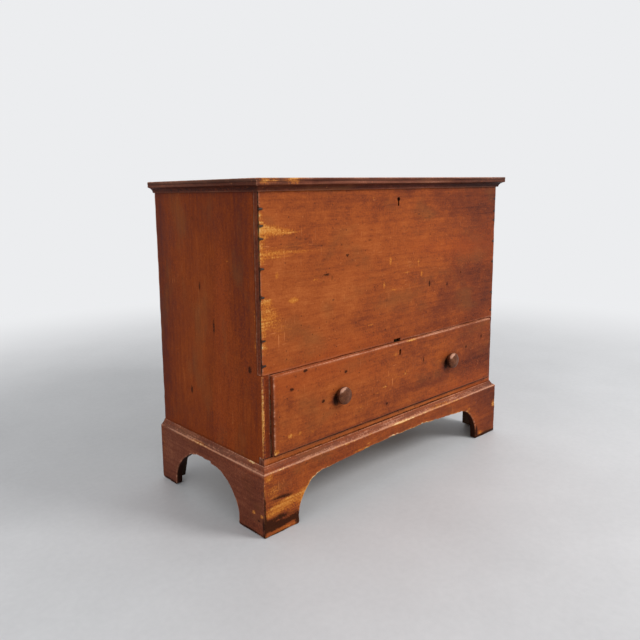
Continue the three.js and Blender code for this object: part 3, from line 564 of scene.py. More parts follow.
def cut(piece, *groups):
    """Cuts groups of prisms from a piece. The prisms of one group don't meet each other."""
    for group in groups:
        tool = piece_from("cutter", *joined(group))
        tool.data.shade_flat()
        combine(piece, tool, "DIFFERENCE")
    piece.data.set_sharp_from_angle(angle=SHARP_ANGLE)


def keyhole(middle, foot, radius, slot):
    """The outline of a circle above a straight slot."""
    half = slot / 2
    start = math.asin(min(1.0, half / radius))
    angle = np.linspace(start, FULL_TURN - start, 17) - math.pi / 2
    circle = np.stack([radius * np.cos(angle), middle + radius * np.sin(angle)], axis=1)
    return np.concatenate([[[-half, foot], [half, foot]], circle])


# %% [markdown]
# ## Wear on a board
#
# A list gives the places where a board is rubbed, bruised or darkened: across, up, the two reaches
# and the amount. Places and reaches are in millimetres. Each mark is a bell shape on the board's face, and a
# board's fields add them up at every vertex. They are written after the cuts, because a Boolean makes new
# vertices.

# %% Fields on a board
ARRIS_REACH = 6 * MM
SKIN = 4 * MM
CLOSE_BY = 0.6 * MM
covered = {}


def near_faces(points, low, high, faces):
    """1 within the skin of any of the named faces of a box, such as -Y, and 0 elsewhere."""
    inside = np.zeros(len(points), bool)
    for sign, axis in faces:
        k = "XYZ".index(axis)
        inside |= np.abs(points[:, k] - (low if sign == "-" else high)[k]) < SKIN
    return inside.astype(float)


def attach(piece, nodes_replaced, body, material):
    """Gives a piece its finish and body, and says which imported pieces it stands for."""
    piece.data.materials.clear()
    piece.data.materials.append(material)
    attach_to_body(piece, body)
    if nodes_replaced:
        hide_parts(*nodes_replaced)
    covered.update(dict.fromkeys(nodes_replaced, material))
    print(piece.name, "has", len(piece.data.vertices), "vertices")


def bells(across, up, marks):
    """The sum of the marks: the amount of each, times a bell across and a bell up."""
    total = np.zeros(across.shape)
    for x, z, reach_x, reach_z, amount in marks:
        total += amount * bell(across, x * MM, reach_x * MM) * bell(up, z * MM, reach_z * MM)
    return total


def write_marks(piece, points, axes, facing, marks, added):
    """Writes the sum of the marks on the outer face and what is added anywhere."""
    for key in ("rub", "dirt", "tone"):
        drawn = bells(points[:, axes[0]], points[:, axes[1]], marks.get(key, ()))
        set_field(piece, key, drawn * facing + added.get(key, 0))


def dress(piece, node, body, material, shown, marks, axes=(0, 2), extra=None):
    """Writes a board's fields and gives it its finish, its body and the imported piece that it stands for.
    Shown names the faces that are stained, and the first of them is the one that carries the marks."""
    points = places_of(piece)
    low, high = np.array(piece["low"]), np.array(piece["high"])
    second = np.sort(np.minimum(np.abs(points - low), np.abs(points - high)), axis=1)[:, 1]
    added = extra(points) if extra else {}
    set_field(piece, "arris", np.clip(np.maximum(1 - second / ARRIS_REACH, added.get("arris", 0)), 0, 1))
    soiled_and_shaded = np.clip(added.get("dirt", 0) * np.ones(len(points)), 0, 1)
    set_field(piece, "stain", np.maximum(near_faces(points, low, high, shown), soiled_and_shaded))
    write_marks(piece, points, axes, near_faces(points, low, high, shown[:1]), marks, added)
    attach(piece, [node], body, material)


# %% [markdown]
# ## The front board
#
# The one wide board of the front carries most of the looks: mottled orange-brown stain, bruises, ochre
# patches where the left edge has been rubbed, and the keyhole. Its ends show their dark end grain at the
# sides of the chest, because it is nailed over the front edges of the side boards.

# %% Build the front board
front_low, front_high = corners_of("front_board")
front_face, front_inside = front_low[1], front_high[1]
KEY_MIDDLE, KEY_FOOT, KEY_ROUND, KEY_SLOT = np.array([811.7, 793.8, 5.0, 6.2]) * MM
MORTISE_HALF, MORTISE_RISE, MORTISE_DEPTH = np.array([15, 8.5, 12.4]) * MM
LOCK_PLATE_ENDS, LOCK_PLATE = 9 * MM, 2 * MM
NAIL_ROWS = (801, 762, 732, 662, 594, 490, 429)
FRONT_CHIPS = [
    (-505, -216, 801, 7, 1.6), (-505, -216, 732, 8, 2.2), (-505, -216, 662, 7, 1.8),
    (-505, -216, 594, 8, 2.2), (-505, -216, 745, 22, 0.9), (-505, -216, 560, 26, 0.8),
    (-505, -216, 407, 8, 1.5), (505, -216, 640, 20, 0.9),
]
FRONT_MARKS = {
    "rub": [
        (-470, 748, 38, 13, 0.95), (-410, 743, 34, 8, 0.55), (-497, 745, 14, 30, 0.8),
        (-500, 786, 7, 18, 0.45), (-480, 694, 36, 16, 0.6), (-500, 690, 10, 36, 0.55),
        (-401, 576.5, 17, 7, 1.05), (-490, 580, 16, 14, 0.95), (-480, 545, 30, 30, 0.6),
        (-499, 520, 10, 36, 0.5), (-497, 470, 11, 18, 0.4), (-410, 700, 60, 14, 0.3),
        (-440, 500, 60, 50, 0.22), (-33, 642, 3.5, 14, 0.8), (-17, 559, 14, 3.5, 0.6),
        (111, 590, 3.5, 11, 0.8), (96, 628, 3.5, 8, 0.6), (40, 600, 12, 3.5, 0.55), (-60, 575, 4, 9, 0.6),
        (-117, 471, 13, 3.5, 0.6), (-325, 620, 16, 4, 0.6), (-453, 642, 5, 8, 0.6), (-105, 816, 5, 8, 0.6),
        (30, 620, 110, 60, 0.2), (-330, 700, 120, 60, 0.1),
    ],
    "dirt": [
        (-209, 671, 8, 6, 0.85), (-230, 701, 6, 5, 0.7), (-294, 669, 13, 4, 0.65),
        (-283, 628, 11, 5, 0.62), (-266, 617, 7, 9, 0.6), (-297, 609, 7, 8, 0.65), (-316, 627, 40, 4, 0.5),
        (151, 558, 5, 13, 1.0), (241, 546, 6, 7, 0.85), (145, 757, 7, 5, 0.75), (314, 575, 6, 6, 0.7),
        (-120, 705, 12, 4, 0.6), (-170, 640, 22, 4, 0.5), (434, 655, 18, 9, 0.5), (-88, 651, 9, 8, 0.45),
        # The long mark 854 mm up is a painted shadow under the lid.
        (-7, 608, 7, 6, 0.45), (0, 803, 9, 15, 0.35), (0, 854, 900, 5, 0.5),
        *[(side * 499, z, 10, 4, 1.0) for side in (-1, 1) for z in NAIL_ROWS],
        *[(side * 505, 630, 2.5, 400, 0.75) for side in (-1, 1)],
    ],
    "tone": [
        (520, 620, 300, 600, -1.0), (0, 620, 900, 600, -0.12), (445, 590, 40, 110, -0.2),
        (-450, 600, 160, 200, 0.2), (150, 470, 130, 60, -0.15), (-60, 590, 60, 28, -0.35),
        (-330, 815, 240, 26, -0.3), (360, 800, 170, 60, -0.3), (-300, 560, 180, 60, 0.25),
        (60, 640, 180, 70, 0.25), (-170, 690, 120, 50, 0.15), (-330, 450, 150, 40, 0.25),
        (60, 832, 90, 16, -0.45), (200, 830, 60, 30, -0.3),
    ],
}


def lock_recesses(node, top):
    """The recess of a lock's body and the wider, shallow one of its plate, both open above and inside."""
    low, high = corners_of(node)
    ends = np.array([LOCK_PLATE_ENDS, 0, 0])
    out = np.array([0, OVERRUN, OVERRUN])
    plate_low = np.array([low[0], low[1], top - LOCK_PLATE])
    return [slab(low + ends - GAP, high - ends + GAP + out)], [slab(plate_low - GAP, high + GAP + out)]


def end_grain(points):
    """The ends of the front board and rail: dark, and darkest towards the joint with the side board."""
    ends = (np.abs(points[:, 0]) > front_high[0] - CLOSE_BY).astype(float)
    depth = rise(points[:, 1], front_face, front_inside)
    return {"tone": -1.3 * ends, "dirt": ends * (0.12 + 2.5 * np.clip(depth - 0.8, 0, 1))}


def on_outlines(points, face, outlines):
    """1 at the points that lie on the sides of holes with these outlines, from a board's face to its
    back."""
    corners = np.concatenate([np.asarray(outline, float) for outline in outlines])
    away = np.abs(points[:, None, 0] - corners[:, 0]) + np.abs(points[:, None, 2] - corners[:, 1])
    return ((away < CLOSE_BY).any(axis=1) & (points[:, 1] > face - MM)).astype(float)


def front_board_fields(points):
    """Dark end grain, and painted shade inside the keyhole and the mortise."""
    top = front_low[2] + MORTISE_RISE
    corners = [(side * MORTISE_HALF, z) for side in (-1, 1) for z in (front_low[2], top)]
    added = end_grain(points)
    return {**added, "dirt": added["dirt"] + on_outlines(points, front_face, [key_outline, corners])}


front_board = block("worn_front_board", front_low, front_high, 1.3, 4, 11, FRONT_CHIPS)
mortise = slab(
    (-MORTISE_HALF, front_face - OVERRUN, front_low[2] - OVERRUN),
    (MORTISE_HALF, front_face + MORTISE_DEPTH, front_low[2] + MORTISE_RISE),
)
key_outline = keyhole(KEY_MIDDLE, KEY_FOOT, KEY_ROUND, KEY_SLOT)
key_cut = prism(key_outline, 1, front_face - OVERRUN, front_inside + OVERRUN)
cut(front_board, [mortise, key_cut], *lock_recesses("chest_lock_case", front_high[2]))
dress(
    front_board, "front_board", "case", front_pine, ["-Y", "-X", "+X"], FRONT_MARKS,
    extra=front_board_fields,
)

# %% Build the bottom rail
rail_low, rail_high = corners_of("bottom_rail")
RAIL_MARKS = {
    # The mark 198 mm up is a painted shadow under the drawer.
    "dirt": [(0, 180, 900, 2.5, 0.7), (0, 198, 900, 7, 0.9)],
    # The tone 186 mm up is painted light, which makes the rail lighter where the drawer shades it.
    "tone": [(0, 186, 900, 12, 0.9), (520, 188, 200, 30, -1.2)],
}
rail = block("worn_bottom_rail", rail_low, rail_high, 1.0, 8, 12)
stained_faces = ["-Y", "-X", "+X", "+Z"]
dress(rail, "bottom_rail", "case", front_pine, stained_faces, RAIL_MARKS, extra=end_grain)

# %% [markdown]
# ## The side boards
#
# Each side is one board with its grain upright. Its front edge stands back behind the front board, and comes
# forward to the face only beside the drawer. So it is made of two rounded blocks, joined, and the grooves
# for the chest floor and the back boards are cut from it.

# %% Build the side boards
SIDE_MARKS = {
    "rub": [
        (-193, 550, 3, 22, 0.5), (-193, 480, 3, 24, 0.5), (-214, 300, 3, 110, 0.95),
        (-186, 705, 4, 34, 0.25), (-91, 672, 12, 2, 0.45), (3, 682, 4, 3, 0.4), (43, 696, 3, 4, 0.35),
    ],
    "dirt": [
        (58, 774, 5, 10, 0.6), (114, 698, 5, 9, 0.5), (36, 597, 5, 18, 0.75), (120, 612, 5, 10, 0.5),
        (-23, 496, 5, 28, 0.9), (22, 731, 5, 9, 0.5), (-169, 412, 8, 12, 0.95), (92, 303, 6, 14, 0.95),
        # The mark 853 mm up is a painted shadow under the lid's moulding.
        (-10, 378, 5, 14, 0.5), (60, 420, 5, 10, 0.4), (0, 182, 400, 4, 0.5), (0, 853, 400, 5, 0.6),
        (-195, 640, 2, 300, 0.5),
    ],
    "tone": [
        (-140, 650, 30, 300, -0.55), (20, 790, 90, 60, -0.4), (35, 500, 34, 300, 0.4),
        # The tone 846 mm up darkens that painted shadow under the lid.
        (90, 350, 60, 120, 0.2), (228, 560, 26, 500, -0.6), (0, 846, 400, 14, -0.6),
        (-190, 330, 20, 120, -0.3), (120, 600, 20, 200, 0.2),
    ],
}
SIDE_CHIPS = [(505, -196, z, 8, 1.2) for z in (732, 655, 560, 480, 412)] + [(505, -216, 300, 60, 0.8)]
STUB_REACH = 8 * MM
seat = front_inside + GAP


def strip_fields(points):
    """The strips beside the drawer are darker, and the right one has painted shade, darkest along its outer
    arris."""
    strip = points[:, 1] < front_face + MM
    return {"tone": -0.7 * strip, "dirt": strip * (0.12 + 0.6 * rise(points[:, 0], 495 * MM, 503 * MM))}


def side_board(side, node):
    """Joins the board, which starts behind the front board, and a stub that comes forward beside the drawer.
    Then the housing of the chest floor and the rabbet of the back boards are cut."""
    low, high = corners_of(node)
    chips = [(side * x, *rest) for x, *rest in SIDE_CHIPS]
    board = block(f"worn_{node}", (low[0], seat, low[2]), high, 1.2, 5, 21, chips)
    stub_low = (low[0], front_face, rail_high[2] + GAP)
    stub_high = (high[0], seat + STUB_REACH, front_low[2] - GAP)
    combine(board, block("stub", stub_low, stub_high, 1.2, 6, 24, chips), "UNION")
    floor_low, floor_high = corners_of("chest_floor")
    back_low, back_high = corners_of("lower_back_board")
    floor_high[1] = back_high[1]
    housing = slab(floor_low - [GAP, GAP + OVERRUN, GAP], floor_high + GAP)
    rabbet = slab(back_low - [GAP, GAP, OVERRUN], (*back_high[:2] + [GAP, OVERRUN], high[2] + OVERRUN))
    cut(board, [housing], [rabbet])
    board["low"], board["high"] = [low[0], front_face, low[2]], high.tolist()
    stained = ["-X" if side < 0 else "+X", "-Y"]
    dress(board, node, "case", side_pine, stained, SIDE_MARKS, (1, 2), strip_fields)


for side, node in ((-1, "left_side_board"), (1, "right_side_board")):
    side_board(side, node)

# %% [markdown]
# ## The lid board
#
# The lid's board is planed flat, stained on top and left raw below. Its underside has the seats of the two
# hinge leaves and of the link plate.

# %% Build the lid board
lid_low, lid_high = corners_of("lid_board")
link_low, link_high = corners_of("lid_link_plate")
LEAF_SEAT = 1.9 * MM
LID_MARKS = {
    "rub": [
        (-300, -60, 60, 40, 0.2), (150, -150, 120, 30, 0.24), (330, 40, 50, 60, 0.2),
        (-60, 90, 160, 40, 0.16),
    ],
    "dirt": [
        (-120, 40, 5, 4, 0.7), (210, -60, 4, 5, 0.7), (80, 150, 5, 5, 0.6), (-380, -120, 6, 4, 0.6),
    ],
    "tone": [
        (0, 0, 300, 120, 0.25), (-430, 0, 60, 300, -0.4), (430, 60, 60, 300, -0.3),
        (0, 225, 600, 20, -0.4),
    ],
}


def hinge_seat(node):
    """The seat of a hinge leaf, open below and at the rear."""
    low, high = corners_of(node)
    low[2], high[1] = lid_low[2], lid_high[1]
    return slab(low - [GAP, GAP, OVERRUN], (high[0] + GAP, high[1] + OVERRUN, lid_low[2] + LEAF_SEAT))


lid = block("worn_lid_board", lid_low, lid_high, 0.9, 6, 31)
link_seat = slab((link_low[0] - GAP, link_low[1] - GAP, lid_low[2] - OVERRUN), link_high + GAP)
cut(lid, [hinge_seat("left_hinge_lid_leaf"), hinge_seat("right_hinge_lid_leaf"), link_seat])
dress(lid, "lid_board", "lid", lid_pine, ["+Z", "+Y"], LID_MARKS, (0, 1))

# %% [markdown]
# ## The drawer front
#
# The drawer front is a board with well rounded edges that stands proud of the case. It holds a lock and two
# knobs, and its ends have the sockets of half-blind dovetails, which show when the drawer is pulled out.

# %% Build the drawer front
drawer_low, drawer_high = corners_of("drawer_front")
tail_low, tail_high = corners_of("drawer_left_side")
panel_low, panel_high = corners_of("drawer_bottom")
DRAWER_KEY_MIDDLE, DRAWER_KEY_FOOT, DRAWER_KEY_HALF = np.array([379.6, 368, 3.6]) * MM
KNOB_PLACES = {"left_knob": -247 * MM, "right_knob": 247 * MM}
KNOB_HEIGHT = 305 * MM
TENON = 6.3 * MM
TAILS, TAIL_SLOPE, PIN = 4, 7, 13 * MM
DRAWER_CHIPS = [
    (-480, -228, 200, 12, 2.5), (50, -228, 403, 16, 1.0), (-375, -228, 403, 6, 1.5),
    (480, -228, 260, 14, 1.5),
]
DRAWER_MARKS = {
    "rub": [
        (-429, 241, 8, 5, 0.6), (-396, 240, 6, 5, 0.5), (-350, 229, 5, 6, 0.5), (-474, 210, 9, 8, 0.8),
        (-20, 370, 14, 7, 0.4), (50, 401, 26, 3, 0.8), (-167, 250, 2.5, 12, 0.6), (-68, 285, 10, 6, 0.4),
        (26, 308, 10, 6, 0.35), (-99, 272, 7, 9, 0.35), (-40, 300, 90, 50, 0.18), (-420, 232, 60, 10, 0.2),
    ],
    "dirt": [
        (-375, 396, 8, 5, 1.0), (-421, 358, 9, 6, 0.8), (-425, 320, 22, 30, 0.32), (-313, 303, 8, 6, 0.95),
        (-228, 364, 7, 6, 0.8), (-59, 234, 7, 6, 0.9), (338, 331, 6, 6, 0.8), (112, 332, 4, 15, 0.85),
        # The long mark 199 mm up is a painted shadow along the drawer's lower edge.
        (-115, 274, 7, 7, 0.6), (425, 352, 5, 12, 0.9), (0, 376, 7, 12, 0.3), (0, 199, 900, 3.6, 1.25),
        # Painted shadows of the knobs: near black to their lower left, with a brown halo below.
        (-267, 298, 10, 15, 0.9), (-257, 283, 18, 9, 0.4), (227, 298, 10, 15, 0.9), (237, 283, 18, 9, 0.4),
    ],
    "tone": [
        # The first two marks darken the knobs' painted shadows.
        (-270, 299, 14, 18, -1.7), (223, 299, 14, 18, -1.7), (-430, 320, 18, 28, -0.5),
        (90, 262, 110, 18, -0.35), (32, 255, 20, 12, -0.3), (520, 300, 260, 300, -0.8),
        (100, 300, 260, 300, -0.3), (-200, 330, 140, 30, 0.2), (200, 350, 120, 30, 0.2),
        # The long mark 202 mm up darkens the painted shadow along the lower edge.
        (0, 202, 900, 6, -0.8), (-470, 300, 8, 100, -0.4), (410, 262, 130, 40, -0.8),
        # Painted shade down the drawer front's right end.
        (482, 300, 8, 200, -0.9),
    ],
}


def tail_sockets():
    """Sockets for the tails: each is wide at its end and narrower by one in seven towards the drawer."""
    end, root = tail_low[1] - GAP, drawer_high[1] + OVERRUN
    pitch = (tail_high[2] - tail_low[2]) / TAILS
    wide = (pitch - PIN) / 2 + GAP
    narrow = wide - (root - end) / TAIL_SLOPE
    middles = tail_low[2] + (np.arange(TAILS) + 0.5) * pitch
    outlines = [[(root, m - narrow), (end, m - wide), (end, m + wide), (root, m + narrow)] for m in middles]
    inner = tail_high[0] + GAP
    spans = [(drawer_low[0] - OVERRUN, inner), (-inner, drawer_high[0] + OVERRUN)]
    return [prism(outline, 0, *span) for span in spans for outline in outlines]


def through_drawer(outline):
    """A prism right through the drawer front."""
    return prism(outline, 1, drawer_low[1] - OVERRUN, drawer_high[1] + OVERRUN)


def tenon_hole(middle):
    """A round hole: the tenon's radius times cosine and sine."""
    angle = np.linspace(0, FULL_TURN, 24, endpoint=False)
    circle = TENON * np.stack([np.cos(angle), np.sin(angle)], axis=1)
    return through_drawer(circle + [middle, KNOB_HEIGHT])


def drawer_fields(points):
    """The ends of the drawer front are darker. Its top is pale where it stands out from the case, partly wear
    and partly a painted highlight, and behind that it has painted shade in the gap under the front board. Its
    keyhole has painted shade inside."""
    ends = (np.abs(points[:, 0]) > drawer_high[0] - CLOSE_BY).astype(float)
    behind = points[:, 1] > front_face + MM
    top = points[:, 2] > drawer_high[2] - 2 * MM
    dirt = 0.1 * ends + 0.5 * (top & behind) + on_outlines(points, drawer_low[1], [drawer_key_outline])
    # The top's arris field makes a worn edge that is partly a painted highlight, and the dark top behind it is
    # painted shade.
    return {"tone": -1.1 * ends + 0.4 * top, "dirt": dirt, "arris": 0.95 * (top & ~behind)}


drawer_front = block("worn_drawer_front", drawer_low, drawer_high, 2.4, 3.4, 41, DRAWER_CHIPS)
groove = slab(panel_low - GAP, (panel_high[0] + GAP, drawer_high[1] + OVERRUN, panel_high[2] + GAP))
drawer_key_outline = keyhole(DRAWER_KEY_MIDDLE, DRAWER_KEY_FOOT, DRAWER_KEY_HALF, 2 * DRAWER_KEY_HALF)
holes = [tenon_hole(place) for place in KNOB_PLACES.values()]
recesses = lock_recesses("drawer_lock_case", drawer_high[2])
cut(drawer_front, [*tail_sockets(), *holes, through_drawer(drawer_key_outline)], [groove], *recesses)
dress(
    drawer_front, "drawer_front", "drawer", front_pine, ["-Y", "-X", "+X", "+Z", "-Z"],
    DRAWER_MARKS, extra=drawer_fields,
)

# %% [markdown]
# ## Mouldings round the lid
#
# The lid's mouldings were planed with a hollow and a lip, and a V groove runs along the lip. Such a piece is
# a profile carried along a line, with its ends sheared to the mitre. The profile is drawn once, as corners
# with a small rounding each, and the arrises are worn back by an amount that wanders along the length.

# %% Profiles
END_STEPS = np.array([0, 0.4, 0.8, 1.3, 2, 3, 4.5, 7]) * MM


def rounded(corners, steps=4):
    """A closed outline in metres from corners in mm (out, up, rounding). Each corner becomes the curve
    (1-t)^2 a + 2t(1-t) c + t^2 b, where c is the corner and a and b lie on its two sides, as far from it
    as the rounding says. A corner without rounding stays a point."""
    corners = np.array(corners, float)
    places, reach = corners[:, :2], corners[:, 2:]
    before, after = np.roll(places, 1, axis=0) - places, np.roll(places, -1, axis=0) - places
    start = places + reach * before / np.linalg.norm(before, axis=1, keepdims=True)
    end = places + reach * after / np.linalg.norm(after, axis=1, keepdims=True)
    t = np.linspace(0, 1, steps + 1)[:, None, None]
    curves = (1 - t) ** 2 * start + 2 * t * (1 - t) * places + t**2 * end
    counts = np.where(reach[:, 0] > 0, steps + 1, 1)
    return np.concatenate([curves[:count, k] for k, count in enumerate(counts)]) * MM


def hollow(start, end, sag, steps=10):
    """Corners of a shallow hollow between two points: the chord moved square to itself by 4t(1-t) sag."""
    start, end = np.array(start, float), np.array(end, float)
    t = np.linspace(0, 1, steps + 1)[1:-1, None]
    chord = end - start
    square = np.array([-chord[1], chord[0]]) / np.linalg.norm(chord)
    places = start + t * chord + 4 * t * (1 - t) * sag * square
    return np.insert(places, 2, 0, axis=1).tolist()


def stations(low, high, step):
    """Places along a moulding, close together at its ends, where the mitre is."""
    count = round((high - low) / step)
    return np.concatenate([low + END_STEPS, np.linspace(low, high, count)[2:-2], high - END_STEPS[::-1]])


def soften(points, corner, signs, axes, radius):
    """Rounds a corner of two planes: points beyond the circle of that radius inside it are pulled onto
    it."""
    inside = np.stack([(points[..., axes[k]] - corner[k]) * signs[k] for k in (0, 1)], axis=-1)
    reach = inside + radius[..., None]
    length = np.linalg.norm(reach, axis=-1)
    beyond = (reach.min(axis=-1) > 0) & (length > radius)
    moved = reach * (radius / np.maximum(length, 1e-9))[..., None] - radius[..., None]
    for k in (0, 1):
        points[..., axes[k]] = np.where(beyond, corner[k] + moved[..., k] * signs[k], points[..., axes[k]])


def ups_and_downs(along, seed):
    """A wander along a line, with a finer one on it."""
    path = np.stack([along, np.zeros_like(along), np.zeros_like(along)], axis=-1)
    return wander(path, seed, 0.045) + 0.6 * wander(path, seed + 1, 0.012)


# %% Carry the lid's profile
LID_PROFILE = [
    (0.3, 0, 0.2), (3, 0, 0.6), (3, 2, 0.4), *hollow((3, 2), (17.5, 15), 3), (17.5, 15, 0.4),
    (19, 15.75, 0.6), (19, 21.6, 0.4), (18, 22.5, 0.3), (19, 23.4, 0.4), (19, 31, 2.6), (9, 31, 0),
    (0.3, 31, 0.2),
]
TOP_EDGE = 28 * MM
LID_WEAR = 0.25 * MM
MITRE_REACH = 80 * MM
LIP_CORNER = 1.6 * MM
lip_left, lip_front, lip_foot = corners_of("front_lid_moulding")[0]
lip = lid_low[0] - lip_left


def worn_profile(profile, along, seed, chips):
    """The profile at each station, with its outer arrises worn back towards the middle of the section by an
    amount that wanders and grows at the chips. Gives out and up, and how near each point is to an
    arris."""
    outline = rounded(profile)
    before, after = outline - np.roll(outline, 1, axis=0), np.roll(outline, -1, axis=0) - outline
    turn = np.arctan2(before[:, 0] * after[:, 1] - before[:, 1] * after[:, 0], (before * after).sum(axis=1))
    apart = np.linalg.norm(outline[:, None] - outline[None], axis=2)
    arris = np.clip(bell(apart, 0, 1.5 * MM) @ np.clip(turn, 0, None), 0, 1)
    inward = outline.mean(axis=0) - outline
    inward = inward / np.linalg.norm(inward, axis=1, keepdims=True)
    amount = LID_WEAR * (1 + np.clip(ups_and_downs(along, seed), 0, 3)) + chipped(along[:, None], chips)
    shifted = outline + inward * arris[:, None] * amount[:, None, None]
    return shifted, np.broadcast_to(arris, shifted.shape[:2])


def lid_moulding(name, low, high, place, mitres, seed, chips, fields):
    """Carries the lid's profile from low to high. Place turns along, out and up into X, Y and Z, and mitres
    gives for each end how far it moves for each unit of out beyond the lip."""
    along = stations(low, high, 6 * MM)
    outline, arris = worn_profile(LID_PROFILE, along, seed, chips)
    out, up = outline[..., 0], outline[..., 1] + lip_foot
    from_end = np.minimum(along - low, high - along)
    lean = np.where(along < (low + high) / 2, mitres[0], mitres[1]) * rise(from_end, MITRE_REACH, 0)
    points = np.stack(place(along[:, None] + lean[:, None] * (out - lip), out, up), axis=-1)
    radius = LIP_CORNER * (1 + 0.5 * wander(points, 55, 0.03))
    for side in (-1, 1):
        soften(points, (-side * lip_left, lip_front), (side, -1), (0, 1), radius)
    mitre = rise(from_end, 5 * MM, 0) * np.abs(lean)
    worn = arris * np.where(outline[..., 1] > TOP_EDGE, 1, 0.4)
    piece = sleeve(name, points, np.maximum(worn, mitre[:, None] * (out > 12 * MM)))
    here = places_of(piece)
    set_field(piece, "stain", np.ones(len(here)))
    for key, values in fields(here / MM).items():
        set_field(piece, key, values)
    return piece


# %% Build the lid's mouldings
LIP_CHIPS = [
    (-488, 8, 0.9), (-455, 6, 0.8), (-418, 9, 0.7), (-352, 5, 0.6), (-120, 9, 0.4), (60, 6, 0.5),
    (270, 8, 0.4),
]
SIDE_LIP_CHIPS = [(-120, 9, 0.5), (60, 7, 0.5)]
LIP_PATCHES = [(-500, 865, 22, 14, 0.5), (-470, 865, 14, 14, 0.3), (-415, 865, 30, 14, 0.55)]
HOLLOW, GROOVE, LIP_FOOT = 848, 862.5, 865.5


def lip_fields(points, patches, dulled=0.2):
    """Painted shade lies in the hollow and along the foot, where the moulding hangs over the case. Above the
    groove the stain is dark, the groove itself is black, and all is darker towards the right. The lip is
    rubbed in patches, and its top edge is a little paler, partly wear and partly a painted highlight."""
    x, z = points[:, 0], points[:, 2]
    return {
        "rub": rise(z, 853, 857) * bells(x * MM, z * MM, patches) + 0.12 * rise(z, 868.5, 870.5),
        "tone": -0.9 * bell(z, HOLLOW, 6) - 1.7 * bell(z, LIP_FOOT, 2.4) - dulled - 0.8 * rise(x, 50, 400),
        "dirt": 0.6 * bell(z, GROOVE, 0.8) + 0.35 * rise(z, 843, 841),
    }


mitre_end = -lip_left - GAP
front_moulding = lid_moulding(
    "worn_front_lid_moulding", -mitre_end, mitre_end, lambda run, out, up: (run, lid_low[1] - out, up),
    (-1, 1), 51, LIP_CHIPS, lambda points: lip_fields(points, LIP_PATCHES),
)
attach(front_moulding, ["front_lid_moulding"], "lid", moulding_pine)
for side, node in ((-1, "left_lid_moulding"), (1, "right_lid_moulding")):
    moulding = lid_moulding(
        f"worn_{node}", lip_front + GAP, corners_of(node)[1][1],
        lambda run, out, up: (side * (out - lid_low[0]), run, up),
        (-1, 0), 53 + side, SIDE_LIP_CHIPS, lambda points: lip_fields(points, (), 0.7),
    )
    attach(moulding, [node], "lid", side_moulding_pine)

# %% [markdown]
# ## The bracket base
#
# Each base board has a small moulding planed along its top and an arched opening sawn in its lower edge. A
# section of the board is a closed ring, as before, but its lower edge follows the arch. So every station
# takes its foot from a point of the sawn outline and its top from a point of the straight moulding, and the
# rows of the face lie evenly between the two. The lower arris is rounded by an amount that wanders.

# %% Outlines of the arches
base_left, base_front = corners_of("front_base_board")[0][:2]
BASE_OUT, BASE_IN = 15 * MM, -5 * MM
EASE = 6 * MM
FRONT_UPRIGHT, SIDE_UPRIGHT = 22 * MM, 23 * MM
FRONT_FOOT_EDGE, FRONT_SHOULDER, FRONT_RISE, CROWN = np.array([405, 310, 95, 13]) * MM
SIDE_REAR_FOOT, SIDE_FRONT_FOOT = 74 * MM, 104 * MM
REAR_REACH_SHARE, FRONT_REACH_SHARE = 0.423, 0.396
REAR_RISE, FRONT_SIDE_RISE = 103 * MM, 100 * MM
SAW_STEP = np.array([4.5, 5]) * MM


def superellipse(reach, height, exponent, steps=26):
    """A quarter from (reach, 0) up to (0, height): reach times the cosine and height times the sine, each to
    the power of 2 over the exponent."""
    angle = np.linspace(0, math.pi / 2, steps)
    return np.stack([np.cos(angle), np.sin(angle)], axis=1) ** (2 / exponent) * [reach, height]


def foot_line(outer, edge, upright):
    """Along the floor from the board's end, round the eased corner and up the inner edge of the foot."""
    way = np.sign(edge - outer)
    floor = stations(0, abs(edge - outer) - EASE, 5 * MM)
    angle = np.linspace(0, math.pi / 2, 7)[1:]
    upwards = np.linspace(EASE, upright, 6)[1:]
    return np.concatenate([
        np.stack([outer + way * floor, np.zeros_like(floor)], axis=1),
        np.stack([edge - way * EASE * (1 - np.sin(angle)), EASE * (1 - np.cos(angle))], axis=1),
        np.stack([np.full_like(upwards, edge), upwards], axis=1),
    ])


def front_outline():
    """The right half is the foot, a quarter of a superellipse up to the shoulder, and a crown that is the
    parabola CROWN (1 - (x / shoulder)^2). The left half is its mirror image."""
    foot = foot_line(-base_left - GAP, FRONT_FOOT_EDGE, FRONT_UPRIGHT)
    curve = superellipse(FRONT_FOOT_EDGE - FRONT_SHOULDER, FRONT_RISE, 1.9)[1:]
    x = np.linspace(FRONT_SHOULDER, 0, 90)[1:]
    crown = FRONT_UPRIGHT + FRONT_RISE + CROWN * (1 - (x / FRONT_SHOULDER) ** 2)
    half = np.concatenate([foot, curve + [FRONT_SHOULDER, FRONT_UPRIGHT], np.stack([x, crown], axis=1)])
    return np.concatenate([half, (half * [-1, 1])[::-1][1:]])


def side_outline(front_end, rear_end):
    """The rear foot, a quarter of a superellipse, a straight crest, another quarter, and the front foot."""
    rear_edge, front_edge = rear_end - SIDE_REAR_FOOT, front_end - GAP + SIDE_FRONT_FOOT
    rear_reach = (rear_edge - front_edge) * REAR_REACH_SHARE
    front_reach = (rear_edge - front_edge) * FRONT_REACH_SHARE
    rear = superellipse(rear_reach, REAR_RISE, 1.8)[1:] + [rear_edge - rear_reach, SIDE_UPRIGHT]
    front = superellipse(front_reach, FRONT_SIDE_RISE, 1.8)[1:] * [-1, 1]
    front = front + [front_edge + front_reach, SIDE_UPRIGHT]
    crest = np.linspace(rear[-1], front[-1] + SAW_STEP, 12)[1:]
    rear_foot = foot_line(rear_end, rear_edge, SIDE_UPRIGHT)
    front_foot = foot_line(front_end, front_edge, SIDE_UPRIGHT)
    return np.concatenate([rear_foot, rear, crest, front[::-1], front_foot[::-1]])


print("the front arch rises", round(front_outline()[:, 1].max() / MM), "mm above the floor")

